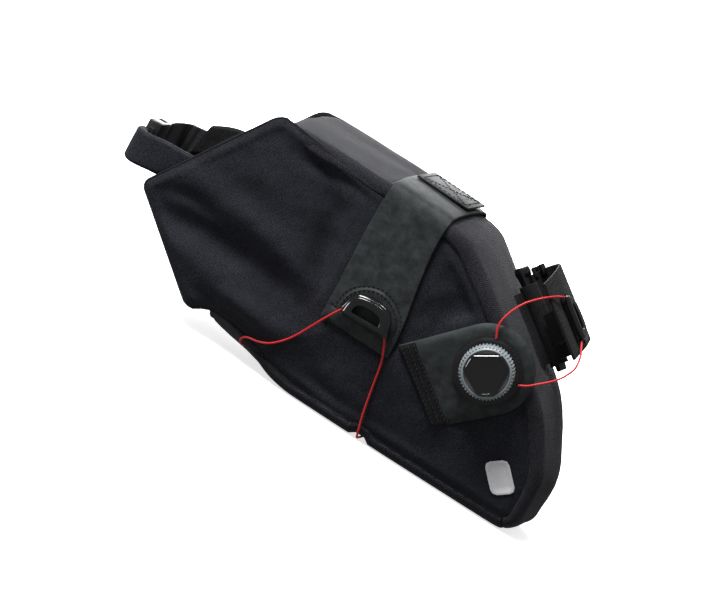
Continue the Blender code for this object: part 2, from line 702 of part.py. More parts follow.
def buckle(f):
    """A side-release buckle: socket on the near end, plug with two prongs on the far webbing."""
    x, half = ROLL_REACH, BUCKLE_WIDTH / 2
    socket = box("buckle_socket", f, (x - 4, -18, -half), (x + 4, 5, half), BLACK, 0.4, 0.8)
    cavity = box("buckle_cavity", f, (x - 2.2, -10, -half + 2.6), (x + 2.2, 7, half - 2.6), BLACK, 0.4)
    window = box("buckle_windows", f, (x - 2.2, -7, -half - 2), (x + 2.2, 0.5, half + 2), BLACK, 0.4)
    for cutter in (cavity, window):
        cutter.hide_render = True
        cutter.display_type = "WIRE"
        cut = socket.modifiers.new("Cut", "BOOLEAN")
        cut.operation = "DIFFERENCE"
        cut.object = cutter
    box("buckle_plug", f, (x - 3.6, 5.6, -half), (x + 3.6, 14.5, half), BLACK, 0.4, 0.8)
    box("buckle_tongue", f, (x - 1.5, -8, -2.2), (x + 1.5, 5.2, 2.2), BLACK, 0.4, 0.5)
    for name, side in (("buckle_prong_lower", -1), ("buckle_prong_upper", 1)):
        low, high = sorted((side * 6.2, side * 9.2))
        box(name, f, (x - 1.6, -9, low), (x + 1.6, 5.2, high), BLACK, 0.4, 0.5)
    box("buckle_bar", f, (x - 2.6, 15.0, -half), (x + 2.6, 18.8, half), BLACK, 0.4, 0.8)


def reflective_mark():
    """A plain rounded patch of film, turned to stand square to the nose slope."""
    across = Vector((math.cos(MARK_TURN), -math.sin(MARK_TURN)))
    up = Vector((math.sin(MARK_TURN), math.cos(MARK_TURN)))
    mark = []
    for quarter, (a, b) in enumerate(((1, 1), (-1, 1), (-1, -1), (1, -1))):
        for angle in (quarter * 90, quarter * 90 + 45, quarter * 90 + 90):
            turn = math.radians(angle)
            width = a * (MARK_SIZE[0] / 2 - MARK_ROUND) + MARK_ROUND * math.cos(turn)
            height = b * (MARK_SIZE[1] / 2 - MARK_ROUND) + MARK_ROUND * math.sin(turn)
            mark.append(Vector(MARK_AT) + across * width + up * height)
    skin("reflective_mark", mark, -1, 0.9, 0.5, MARK_GREY, 0.4, rings=(1, 0.5))


for old in list(bpy.data.objects):
    bpy.data.objects.remove(old, do_unlink=True)

shell()
rail_strap()
rail_guide()
dials()
laces()
seatpost_band()
roll_top()
reflective_mark()
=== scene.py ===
"""The looks of a roll-top saddle bag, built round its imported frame: cloth shell, straps, dials, laces and trim."""

import json
import math

import bmesh
import bpy
import numpy as np
from mathutils import Matrix, Vector, geometry, noise
from mathutils.bvhtree import BVHTree


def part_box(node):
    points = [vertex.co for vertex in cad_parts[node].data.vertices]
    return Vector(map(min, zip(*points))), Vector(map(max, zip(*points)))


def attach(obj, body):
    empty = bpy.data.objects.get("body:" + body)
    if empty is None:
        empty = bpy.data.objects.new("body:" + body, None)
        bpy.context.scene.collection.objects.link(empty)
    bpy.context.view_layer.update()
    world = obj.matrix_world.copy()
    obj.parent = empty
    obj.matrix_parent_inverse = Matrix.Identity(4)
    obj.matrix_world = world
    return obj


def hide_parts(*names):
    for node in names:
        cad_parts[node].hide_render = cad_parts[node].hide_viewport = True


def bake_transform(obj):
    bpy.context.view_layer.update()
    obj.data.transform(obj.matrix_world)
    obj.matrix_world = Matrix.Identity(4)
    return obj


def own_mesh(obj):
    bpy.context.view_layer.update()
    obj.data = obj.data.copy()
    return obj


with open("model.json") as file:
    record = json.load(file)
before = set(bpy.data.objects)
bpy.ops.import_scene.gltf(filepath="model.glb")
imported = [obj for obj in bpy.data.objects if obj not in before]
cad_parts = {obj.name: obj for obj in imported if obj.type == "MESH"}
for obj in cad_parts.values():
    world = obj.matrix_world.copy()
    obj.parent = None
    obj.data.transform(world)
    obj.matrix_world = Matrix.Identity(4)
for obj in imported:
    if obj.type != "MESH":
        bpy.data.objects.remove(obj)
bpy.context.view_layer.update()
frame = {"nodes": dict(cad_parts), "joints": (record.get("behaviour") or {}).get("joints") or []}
joints = {joint["name"]: joint for joint in frame["joints"]}
MM = 0.001
UP = Vector((0, 0, 1))
WHITE = (1, 1, 1, 1)
BAG_MIDDLE = Vector((-55, 0, 60)) * MM
FLOOR_GAP = 0.0002


# ---------------------------------------------------------------- camera, floor and light


def place_camera():
    """A long lens on the near side, a little ahead and above, rolled so that the bag points nose-down."""
    turn, rise, roll = math.radians(9), math.radians(9), math.radians(32.3)
    aim = Vector((-52.9, -42.0, 62.4)) * MM
    frame_width, lens, sensor = 0.386, 400.0, 36.0
    back = Vector((math.sin(turn) * math.cos(rise), -math.cos(turn) * math.cos(rise), math.sin(rise)))
    right = Vector((math.cos(turn), math.sin(turn), 0))
    upward = back.cross(right)
    across = right * math.cos(roll) + upward * math.sin(roll)
    lifted = upward * math.cos(roll) - right * math.sin(roll)
    bpy.ops.object.camera_add()
    camera = bpy.context.object
    camera.data.lens = lens
    camera.data.sensor_width = sensor
    camera.data.clip_start = 0.05
    place = Matrix((across, lifted, back)).transposed().to_4x4()
    place.translation = aim + back * frame_width * lens / sensor
    camera.matrix_world = place
    bpy.context.scene.camera = camera
    return lifted, across, back


def add_lamp(kind, name, offset, energy):
    """A lamp that stands off the bag's middle and faces it."""
    bpy.ops.object.light_add(type=kind, location=BAG_MIDDLE + offset)
    lamp = bpy.context.object
    lamp.name = name
    lamp.data.energy = energy
    lamp.rotation_euler = (-offset).to_track_quat("-Z", "Y").to_euler()
    return lamp.data


def place_light(image_up, image_right, toward):
    """A broad sun over the rear of the bag, two soft boxes that give gloss its highlights, and pale surroundings."""
    sun_from = image_up * 0.80 + toward * 0.36 - image_right * 0.04
    add_lamp("SUN", "soft_sun", sun_from, 4.7).angle = math.radians(24)
    boxes = (
        ("edge_box", image_up * 0.70 + image_right * 0.42 + toward * 0.10, 0.16, 2.4),
        ("side_box", toward * 0.60 - image_right * 0.66 + image_up * 0.16, 0.20, 2.0),
        ("far_fill", image_up * 0.35 - toward * 0.85, 0.50, 9.0),
    )
    for name, offset, size, power in boxes:
        add_lamp("AREA", name, offset, power).size = size
    world = bpy.data.worlds.new("studio")
    world.use_nodes = True
    background = world.node_tree.nodes["Background"]
    background.inputs["Color"].default_value = WHITE
    background.inputs["Strength"].default_value = 0.26
    bpy.context.scene.world = world
    bpy.context.scene.view_settings.view_transform = "Standard"
    bpy.ops.mesh.primitive_plane_add(size=12, location=(0, 0, -FLOOR_GAP))
    floor = bpy.context.object
    floor.name = "studio_floor"
    floor.data.materials.append(plain_floor())
    # The floor throws no light back, so the dark cloth stays dark on white.
    floor.visible_diffuse = False
    floor.visible_glossy = False


# ---------------------------------------------------------------- materials


def linear(code):
    """An sRGB hex colour as linear RGBA."""
    channels = [int(code[i : i + 2], 16) / 255 for i in (1, 3, 5)]
    return (*[c / 12.92 if c <= 0.04045 else ((c + 0.055) / 1.055) ** 2.4 for c in channels], 1)


def start(name):
    made = bpy.data.materials.new(name)
    made.use_nodes = True
    tree = made.node_tree
    return made, tree, tree.nodes["Principled BSDF"]


def add(tree, kind, links=None, **settings):
    """One shader node with its settings, and its inputs set to values or linked from outputs."""
    made = tree.nodes.new("ShaderNode" + kind)
    for key, value in settings.items():
        setattr(made, key, value)
    join(tree, made, links or {})
    return made


def join(tree, node, values):
    """Values set on a node's inputs, or outputs linked to them."""
    for key, value in values.items():
        if isinstance(value, bpy.types.NodeSocket):
            tree.links.new(value, node.inputs[key])
        else:
            node.inputs[key].default_value = value


def feed(tree, shader, **values):
    """Values or links onto the shader's own sockets, named with underscores for spaces."""
    join(tree, shader, {key.replace("_", " "): value for key, value in values.items()})


def plain_floor():
    """Matt white paper: pale, with almost no gloss, and an even glow in place of shadows."""
    made, tree, shader = start("white_paper_floor")
    grain = add(tree, "TexNoise", {"Scale": 300.0, "Detail": 2.0})
    paper = {"Factor": grain.outputs["Fac"], "A": linear("#fdfdfd"), "B": linear("#ffffff")}
    tone = add(tree, "Mix", paper, data_type="RGBA")
    feed(
        tree, shader, Base_Color=tone.outputs["Result"], Roughness=0.9,
        Emission_Color=WHITE, Emission_Strength=0.72,
    )
    return made


def woven(name, dark, light, sheen=0.05):
    """Coated polyester canvas: a plain weave whose matt threads catch light on their crowns.

    The real threads are about 0.6 mm apart; they are drawn 1 mm apart so that the weave shows."""
    thread, relief, rough = 1.0, 0.34, 0.80
    made, tree, shader = start(name)
    uv = add(tree, "UVMap", uv_map="cloth").outputs["UV"]
    count = 1 / (thread * MM)
    split = add(tree, "SeparateXYZ", {"Vector": uv})
    crowns = []
    for axis in ("X", "Y"):
        turns = add(tree, "Math", {0: split.outputs[axis], 1: count * math.pi}, operation="MULTIPLY")
        wave = add(tree, "Math", {0: turns.outputs[0]}, operation="SINE")
        crowns.append(add(tree, "Math", {0: wave.outputs[0]}, operation="ABSOLUTE").outputs[0])
    over = add(tree, "TexChecker", {"Vector": uv, "Scale": count, "Color1": WHITE, "Color2": (0, 0, 0, 1)})
    height = add(tree, "Mix", {"Factor": over.outputs["Fac"], "A": crowns[0], "B": crowns[1]})
    spot = add(tree, "TexCoord").outputs["Object"]
    slub = add(tree, "TexNoise", {"Vector": spot, "Scale": 1100.0, "Detail": 2.0, "Roughness": 0.7})
    cloud = add(tree, "TexNoise", {"Vector": spot, "Scale": 38.0, "Detail": 5.0, "Roughness": 0.6})
    body = add(tree, "Math", {0: height.outputs["Result"], 1: slub.outputs["Fac"]}, operation="MULTIPLY")
    # Colour follows the weave's height: the crowns are painted pale as a highlight and the hollows dark as painted
    # shade.
    tone = add(tree, "MapRange", {"Value": body.outputs[0], "From Min": 0.14, "From Max": 0.58})
    threads = {"Factor": tone.outputs[0], "A": linear(dark), "B": linear(light)}
    cloth = add(tree, "Mix", threads, data_type="RGBA")
    fading = {"Value": cloud.outputs["Fac"], "From Min": 0.35, "From Max": 0.68, "To Min": 0.82, "To Max": 1.14}
    worn = add(tree, "MapRange", fading)
    shade = add(tree, "VectorMath", {0: cloth.outputs["Result"], "Scale": worn.outputs[0]}, operation="SCALE")
    dull = add(tree, "MapRange", {"Value": tone.outputs[0], "To Min": rough + 0.1, "To Max": rough - 0.06})
    bump = add(tree, "Bump", {"Height": body.outputs[0], "Distance": relief * MM, "Strength": 0.9})
    feed(
        tree, shader, Base_Color=shade.outputs[0], Roughness=dull.outputs[0], Normal=bump.outputs["Normal"],
        Sheen_Weight=sheen, Sheen_Roughness=0.35, Specular_IOR_Level=0.18,
    )
    return made


def coated(name, dark, light, rough=0.62, edge=None):
    """Rubber-coated fabric: a dull, slightly mottled skin with a fine pebble; given an edge colour, its sharp edges
    are painted pale as a highlight.
    """
    made, tree, shader = start(name)
    spot = add(tree, "TexCoord").outputs["Object"]
    mottle = add(tree, "TexNoise", {"Vector": spot, "Scale": 260.0, "Detail": 6.0, "Roughness": 0.72}).outputs["Fac"]
    cloud = add(tree, "TexNoise", {"Vector": spot, "Scale": 150.0, "Detail": 3.0}).outputs["Fac"]
    pebble = add(tree, "TexNoise", {"Vector": spot, "Scale": 1500.0, "Detail": 2.0}).outputs["Fac"]
    both = add(tree, "Math", {0: mottle, 1: cloud}, operation="MULTIPLY")
    tone = add(tree, "MapRange", {"Value": both.outputs[0], "From Min": 0.14, "From Max": 0.38})
    tones = {"Factor": tone.outputs[0], "A": linear(dark), "B": linear(light)}
    skin = add(tree, "Mix", tones, data_type="RGBA")
    gloss = {"Value": mottle, "From Min": 0.3, "From Max": 0.7, "To Min": rough - 0.08, "To Max": rough + 0.12}
    dull = add(tree, "MapRange", gloss)
    bump = add(tree, "Bump", {"Height": pebble, "Distance": 0.10 * MM, "Strength": 0.7})
    # The pale rims are a painted highlight along the sharp edges, found by pointiness.
    if edge:
        corners = add(tree, "NewGeometry").outputs["Pointiness"]
        pale_share = add(tree, "MapRange", {"Value": corners, "From Min": 0.54, "From Max": 0.64, "To Max": 0.6})
        edge_highlight_mix = {"Factor": pale_share.outputs[0], "A": skin.outputs["Result"], "B": linear(edge)}
        skin = add(tree, "Mix", edge_highlight_mix, data_type="RGBA")
    feed(
        tree, shader, Base_Color=skin.outputs["Result"], Roughness=dull.outputs[0],
        Normal=bump.outputs["Normal"], Specular_IOR_Level=0.22,
    )
    return made


def ribbed():
    """Black nylon webbing: ribs 1.5 mm apart across the band, each thread with a soft gleam."""
    made, tree, shader = start("black_nylon_webbing")
    uv = add(tree, "UVMap", uv_map="cloth")
    split = add(tree, "SeparateXYZ", {"Vector": uv.outputs["UV"]})
    turns = add(tree, "Math", {0: split.outputs["X"], 1: math.pi / (1.5 * MM)}, operation="MULTIPLY")
    wave = add(tree, "Math", {0: turns.outputs[0]}, operation="SINE")
    crown = add(tree, "Math", {0: wave.outputs[0]}, operation="ABSOLUTE")
    spot = add(tree, "TexCoord").outputs["Object"]
    fuzz = add(tree, "TexNoise", {"Vector": spot, "Scale": 1400.0, "Detail": 3.0})
    body = add(tree, "Math", {0: crown.outputs[0], 1: fuzz.outputs["Fac"]}, operation="MULTIPLY")
    # Colour follows the rib height: the crowns are painted pale as a highlight and the hollows dark as painted
    # shade.
    tone = add(tree, "MapRange", {"Value": body.outputs[0], "From Min": 0.1, "From Max": 0.6})
    tones = {"Factor": tone.outputs[0], "A": linear("#050506"), "B": linear("#2b2c2e")}
    cloth = add(tree, "Mix", tones, data_type="RGBA")
    bump = add(tree, "Bump", {"Height": body.outputs[0], "Distance": 0.25 * MM, "Strength": 0.9})
    feed(
        tree, shader, Base_Color=cloth.outputs["Result"], Roughness=0.6, Normal=bump.outputs["Normal"],
        Sheen_Weight=0.06, Specular_IOR_Level=0.25,
    )
    return made


def moulded(name, colour, rough, grain=0.05, coat=0.0, metallic=0.0):
    """Moulded nylon or acetal: even colour, a fine texture from the tool and faint handling marks."""
    made, tree, shader = start(name)
    spot = add(tree, "TexCoord").outputs["Object"]
    fine = add(tree, "TexNoise", {"Vector": spot, "Scale": 1800.0, "Detail": 2.0}).outputs["Fac"]
    pale_share = add(tree, "TexNoise", {"Vector": spot, "Scale": 190.0, "Detail": 5.0, "Roughness": 0.65}).outputs["Fac"]
    handled = {"Value": pale_share, "From Min": 0.35, "From Max": 0.7, "To Min": rough * 0.85, "To Max": rough * 1.2}
    gloss = add(tree, "MapRange", handled)
    base = linear(colour)
    pale = tuple(min(1.0, c * 1.35 + 0.002) for c in base[:3]) + (1,)
    tint = add(tree, "Mix", {"Factor": pale_share, "A": base, "B": pale}, data_type="RGBA")
    bump = add(tree, "Bump", {"Height": fine, "Distance": grain * MM, "Strength": 0.6})
    feed(
        tree, shader, Base_Color=tint.outputs["Result"], Roughness=gloss.outputs[0], Normal=bump.outputs["Normal"],
        Metallic=metallic, Coat_Weight=coat, Coat_Roughness=0.06, Specular_IOR_Level=0.5,
    )
    return made


def braided():
    """Red braided lace: strands that cross on the slant every 1.5 mm, their crowns painted pale as a highlight and
    their hollows painted dark as shade.
    """
    made, tree, shader = start("red_braided_lace")
    uv = add(tree, "UVMap", uv_map="cloth")
    split = add(tree, "SeparateXYZ", {"Vector": uv.outputs["UV"]})
    length = add(tree, "Math", {0: split.outputs["X"], 1: 2 * math.pi / (1.5 * MM)}, operation="MULTIPLY")
    turn = add(tree, "Math", {0: split.outputs["Y"], 1: 2 * math.pi * 2}, operation="MULTIPLY")
    strands = []
    for operation in ("ADD", "SUBTRACT"):
        slant = add(tree, "Math", {0: length.outputs[0], 1: turn.outputs[0]}, operation=operation)
        strands.append(add(tree, "Math", {0: slant.outputs[0]}, operation="SINE").outputs[0])
    braid = add(tree, "Math", {0: strands[0], 1: strands[1]}, operation="MAXIMUM")
    # Tone follows the strands' height: painted highlight on the crowns, painted shade in the hollows.
    tone = add(tree, "MapRange", {"Value": braid.outputs[0], "From Min": -0.6, "From Max": 1.0})
    reds = {"Factor": tone.outputs[0], "A": linear("#8c080e"), "B": linear("#e3161e")}
    tint = add(tree, "Mix", reds, data_type="RGBA")
    bump = add(tree, "Bump", {"Height": tone.outputs[0], "Distance": 0.08 * MM})
    feed(
        tree, shader, Base_Color=tint.outputs["Result"], Roughness=0.5, Normal=bump.outputs["Normal"],
        Sheen_Weight=0.1,
    )
    return made


def beaded():
    """Heat-set reflective film: pale grey, its glass beads a fine sparkle."""
    made, tree, shader = start("grey_reflective_film")
    spot = add(tree, "TexCoord").outputs["Object"]
    beads = add(tree, "TexVoronoi", {"Vector": spot, "Scale": 2600.0}).outputs["Distance"]
    # Bead centres are painted brighter than their edges: a painted glint.
    tone = add(tree, "MapRange", {"Value": beads, "From Max": 0.7})
    greys = {"Factor": tone.outputs[0], "A": linear("#fbfbfc"), "B": linear("#d6d6da")}
    film = add(tree, "Mix", greys, data_type="RGBA")
    bump = add(tree, "Bump", {"Height": beads, "Distance": 0.05 * MM, "Strength": 0.5})
    feed(tree, shader, Base_Color=film.outputs["Result"], Roughness=0.42, Normal=bump.outputs["Normal"])
    return made


# ---------------------------------------------------------------- modelling helpers


def deselect():
    if bpy.context.object and bpy.context.object.mode != "OBJECT":
        bpy.ops.object.mode_set(mode="OBJECT")
    bpy.ops.object.select_all(action="DESELECT")


def choose(obj):
    deselect()
    obj.select_set(True)
    bpy.context.view_layer.objects.active = obj


def modify(obj, kind, **settings):
    """A modifier added with its settings and applied."""
    choose(obj)
    made = obj.modifiers.new(kind.title(), kind)
    for key, value in settings.items():
        setattr(made, key, value)
    bpy.ops.object.modifier_apply(modifier=made.name)


def bevel(obj, width, angle, segments=2):
    """Rounds the edges sharper than an angle; the width is in millimetres."""
    limit = math.radians(angle)
    modify(obj, "BEVEL", width=width * MM, segments=segments, limit_method="ANGLE", angle_limit=limit)


def subdivide(obj, levels):
    modify(obj, "SUBSURF", levels=levels, render_levels=levels)


def linked(name, mesh):
    """A new object in the scene for a mesh."""
    obj = bpy.data.objects.new(name, mesh)
    bpy.context.scene.collection.objects.link(obj)
    return obj


def object_from(bm, name):
    """The faces built so far, turned outwards, as an object."""
    bmesh.ops.recalc_face_normals(bm, faces=bm.faces[:])
    mesh = bpy.data.meshes.new(name)
    bm.to_mesh(mesh)
    bm.free()
    return linked(name, mesh)


def copy_of(node, name):
    """A merged copy of a CAD node's mesh, with quads where its triangles allow."""
    deselect()
    mesh = frame["nodes"][node].data.copy()
    mesh.materials.clear()
    obj = linked(name, mesh)
    choose(obj)
    bpy.ops.object.mode_set(mode="EDIT")
    bpy.ops.mesh.select_all(action="SELECT")
    bpy.ops.mesh.remove_doubles(threshold=0.02 * MM)
    flat = math.radians(40)
    bpy.ops.mesh.tris_convert_to_quads(face_threshold=flat, shape_threshold=flat)
    bpy.ops.object.mode_set(mode="OBJECT")
    if mesh.has_custom_normals:
        bpy.ops.mesh.customdata_custom_splitnormals_clear()
    return obj


def fresh_map(obj):
    """An empty UV map in place of any that the mesh has."""
    while obj.data.uv_layers:
        obj.data.uv_layers.remove(obj.data.uv_layers[0])
    return obj.data.uv_layers.new(name="cloth")


def cloth_map(obj):
    """A UV map in metres, laid on the cloth from the six box directions."""
    choose(obj)
    fresh_map(obj)
    bpy.ops.object.mode_set(mode="EDIT")
    bpy.ops.mesh.select_all(action="SELECT")
    bpy.ops.uv.cube_project(cube_size=1.0, correct_aspect=False)
    bpy.ops.object.mode_set(mode="OBJECT")


def finish_piece(obj, material, body, *nodes, slot=None, angle=40, mapped=False):
    """Smooth shading, material, body and the CAD nodes that the piece stands for."""
    if mapped:
        cloth_map(obj)
    choose(obj)
    bpy.ops.object.shade_smooth_by_angle(angle=math.radians(angle))
    obj.data.materials.clear()
    obj.data.materials.append(material)
    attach(obj, body)
    if nodes:
        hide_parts(*nodes)
    return obj


def points_of(obj):
    points = np.empty(len(obj.data.vertices) * 3)
    obj.data.vertices.foreach_get("co", points)
    return points.reshape(-1, 3)


def put_points(obj, points):
    obj.data.vertices.foreach_set("co", points.astype(np.float32).ravel())
    obj.data.update()


def run_of(line):
    """How far along a line each of its points lies."""
    run = [0.0]
    for a, b in zip(line, line[1:]):
        run.append(run[-1] + (b - a).length)
    return run


def skin(bm, rings, capped=False):
    """Quads between each ring of points and the next, with a face over both ends if capped."""
    count = len(rings[0])
    quads = [
        bm.faces.new((a[i], a[(i + 1) % count], b[(i + 1) % count], b[i]))
        for a, b in zip(rings, rings[1:])
        for i in range(count)
    ]
    if capped:
        bm.faces.new(rings[0][::-1])
        bm.faces.new(rings[-1])
    return quads


def from_rings(name, rings):
    """A closed skin through rings of points, with a UV map in metres: X runs along, Y is the share of the ring."""
    bm = bmesh.new()
    rows = [[bm.verts.new(p) for p in ring] for ring in rings]
    uv = bm.loops.layers.uv.new("cloth")
    run = run_of([ring[0] for ring in rings])
    count = len(rings[0])
    for number, face in enumerate(skin(bm, rows, capped=True)):
        k, i = divmod(number, count)
        spots = ((run[k], i), (run[k], i + 1), (run[k + 1], i + 1), (run[k + 1], i))
        for loop, (x, y) in zip(face.loops, spots):
            loop[uv].uv = (x, y / count)
    return object_from(bm, name)


def smooth_line(route, spacing):
    """Points along a smooth curve through the route's own points."""
    route = [Vector(p) for p in route]
    ends = [route[0] * 2 - route[1]] + route + [route[-1] * 2 - route[-2]]
    line = [route[0]]
    for before, a, b, after in zip(ends, ends[1:], ends[2:], ends[3:]):
        steps = max(2, round((b - a).length / spacing))
        for k in range(1, steps + 1):
            t = k / steps
            line.append(
                0.5 * (2 * a + (b - before) * t + (2 * before - 5 * a + 4 * b - after) * t**2
                       + (3 * a - before - 3 * b + after) * t**3)
            )
    return line


def tube(name, line, radius, sides=12):
    """A round cord along a line of points, closed at both ends."""
    rings = []
    side = None
    for i, here in enumerate(line):
        along = (line[min(i + 1, len(line) - 1)] - line[max(i - 1, 0)]).normalized()
        if side is None:
            side = along.orthogonal().normalized()
        side = (side - along * side.dot(along)).normalized()
        other = along.cross(side)
        ring = []
        for k in range(sides):
            angle = 2 * math.pi * k / sides
            ring.append(here + (side * math.cos(angle) + other * math.sin(angle)) * radius)
        rings.append(ring)
    return from_rings(name, rings)


# ---------------------------------------------------------------- the shell

NOSE_X, WIDTH_RUN = 77.0, 165.0
HALF_WIDTH_NOSE, HALF_WIDTH_REAR = 31.0, 52.0
TOP_HEIGHT, BASE_TAPER = 128.5, 0.12
BULGE, BULGE_CENTRE, BULGE_REACH = 3.0, (-55, 62), (118, 54)
BAG_HUB = np.array((-50, 0, 60))  # the panels' unevenness pushes away from here
GUSSET_WRAP = 8.0  # how far the gusset turns over each side
FLAT_BASE = 1.5  # the panels stay flat below this height
RIM_STEP = 4.0
TUCK_UP, TUCK_IN, CREST_UP, TOE_OUT = 8.0, 3.5, 2.4, 4.0
FOLD_GAIN = 1.7  # how much deeper the folds lie than the tables below give
SEAM_DIP, SEAM_RIDGE = 1.0, 0.55

# Folds of the side panels: a line of (x, z), its height outwards and its half width, all in millimetres.
NEAR_FOLDS = (
    (((-170, 72), (-133, 70), (-97, 64), (-74, 54)), 2.6, 9.0),
    (((-178, 44), (-146, 49), (-112, 51), (-84, 49)), -3.4, 8.0),
    (((-160, 36), (-122, 28), (-92, 26), (-66, 31)), 2.4, 9.0),
    (((-110, 116), (-91, 98), (-80, 70), (-73, 52)), -4.2, 8.0),
    (((-54, 36), (-18, 41), (17, 36), (40, 30)), 1.8, 12.0),
    (((-22, 114), (-6, 100), (-6, 80)), -3.0, 11.0),
    (((52, 66), (69, 50), (75, 18)), -2.4, 6.5),
    (((-129, 112), (-105, 115), (-80, 117)), -1.8, 5.0),
    (((-150, 104), (-128, 92), (-112, 78)), 1.6, 10.0),
    (((-176, 58), (-160, 62), (-142, 60)), -1.5, 4.0),
    (((-60, 20), (-40, 10), (-16, 6)), -1.6, 6.0),
    (((30, 22), (52, 24), (66, 34)), 1.0, 9.0),
)
FAR_FOLDS = (
    (((-172, 66), (-136, 74), (-100, 70), (-74, 60)), 2.4, 10.0),
    (((-178, 46), (-140, 44), (-104, 52), (-82, 60)), -3.0, 8.0),
    (((-150, 30), (-120, 24), (-80, 28)), 2.2, 10.0),
    (((-104, 116), (-86, 94), (-78, 70)), -3.6, 8.0),
    (((-40, 30), (0, 44), (40, 40)), 2.2, 13.0),
    (((-16, 112), (2, 92), (20, 70)), -2.6, 10.0),
    (((54, 64), (69, 46), (74, 18)), -2.0, 7.0),
)


def swell(x, z):
    """The side panels' plain outer face, as in the frame: how far it stands from the middle, in millimetres."""
    run = np.clip((NOSE_X - x) / WIDTH_RUN, 0, 1)
    wide = HALF_WIDTH_NOSE + (HALF_WIDTH_REAR - HALF_WIDTH_NOSE) * np.sin(run * math.pi / 2)
    taper = 1 - BASE_TAPER * (1 - np.clip(z / TOP_HEIGHT, 0, 1))
    bulge_x = np.clip(1 - ((x - BULGE_CENTRE[0]) / BULGE_REACH[0]) ** 2, 0, None)
    bulge_z = np.clip(1 - ((z - BULGE_CENTRE[1]) / BULGE_REACH[1]) ** 2, 0, None)
    return wide * taper + BULGE * bulge_x * bulge_z


def fold_height(x, z, folds):
    """The folds' height at points, each fading away from its line and towards its ends."""
    total = np.zeros_like(x)
    for line, height, half in folds:
        best = np.full_like(x, 1e9)
        share = np.zeros_like(x)
        steps = len(line) - 1
        for k in range(steps):
            ax, az = line[k]
            bx, bz = line[k + 1]
            dx, dz = bx - ax, bz - az
            t = np.clip(((x - ax) * dx + (z - az) * dz) / (dx * dx + dz * dz), 0, 1)
            away = np.hypot(x - ax - dx * t, z - az - dz * t)
            closer = away < best
            best = np.where(closer, away, best)
            share = np.where(closer, (k + t) / steps, share)
        fade = 0.25 + 0.75 * np.sin(np.clip(share, 0, 1) * math.pi)
        total += height * fade * np.exp(-((best / half) ** 2))
    return total


def ease(value):
    value = np.clip(value, 0, 1)
    return value * value * (3 - 2 * value)


def ramp(value, start, run):
    """0 at the start and 1 a run further on, with soft ends. A negative run rises the other way."""
    return ease((value - start) / run)


def under_straps(x, z, side):
    """1 where the cloth is free and 0 where a strap or tab lies on it."""
    free = 1 - ramp(x, -76, 6) * ramp(x, -20, -6) * ramp(z, 42, 6)
    if side < 0:
        tab = np.hypot(x - 20, z - 66)
        mark = np.hypot(x - 57, z - 25)
        free = np.minimum(free, np.minimum(ramp(tab, 26, 8), ramp(mark, 9, 8)))
    return free


def edge_distance(points, outline):
    """How far points (x, z) lie from a closed outline."""
    best = np.full(len(points), 1e9)
    for a, b in zip(outline, np.roll(outline, -1, axis=0)):
        along = b - a
        t = np.clip(((points - a) @ along) / max(along @ along, 1e-12), 0, 1)
        best = np.minimum(best, np.linalg.norm(points - a - t[:, None] * along, axis=1))
    return best


def rim_of(node, side):
    """The outline of a side panel's outer face in (x, z), in order, in millimetres."""
    obj = copy_of(node, "rim_guide")
    bm = bmesh.new()
    bm.from_mesh(obj.data)
    outer = {f for f in bm.faces if f.normal.y * side > 0.55}
    rim = {v for e in bm.edges if len(outer.intersection(e.link_faces)) == 1 for v in e.verts}
    spots = np.array([(v.co.x * 1000, v.co.z * 1000) for v in rim])
    bm.free()
    bpy.data.objects.remove(obj, do_unlink=True)
    hull = spots[geometry.convex_hull_2d([Vector(p) for p in spots])]
    line = []
    for a, b in zip(hull, np.roll(hull, -1, axis=0)):
        steps = max(1, round(np.linalg.norm(b - a) / RIM_STEP))
        line += [a + (b - a) * k / steps for k in range(steps)]
    return np.array(line)


def sag(points):
    """The soft shell's own droop: its lower rear edges tuck in, its toe reaches a little forward
    and the far top edge stands a little higher."""
    x, y, z = points.T
    tuck = ramp(x, -135, 15) * ramp(x, -58, -52) * ramp(z, 30, -28) * ramp(np.abs(y), 16, 26)
    crest = ramp(x, -142, 16) * ramp(x, -45, -25) * ramp(z, 92, 24) * ramp(y, 14, 26)
    toe = ramp(x, 26, 44) * ramp(z, 66, -46)
    y = y - np.sign(y) * TUCK_IN * tuck
    return np.column_stack([x + TOE_OUT * toe, y, z + TUCK_UP * tuck + CREST_UP * crest])


def unevenness(x, z, layer, scale_x, scale_z):
    """Smooth noise over a side of the bag, its bumps about 1 / scale across in millimetres."""
    return np.array([noise.noise(Vector((a * scale_x, layer, b * scale_z))) for a, b in zip(x, z)])


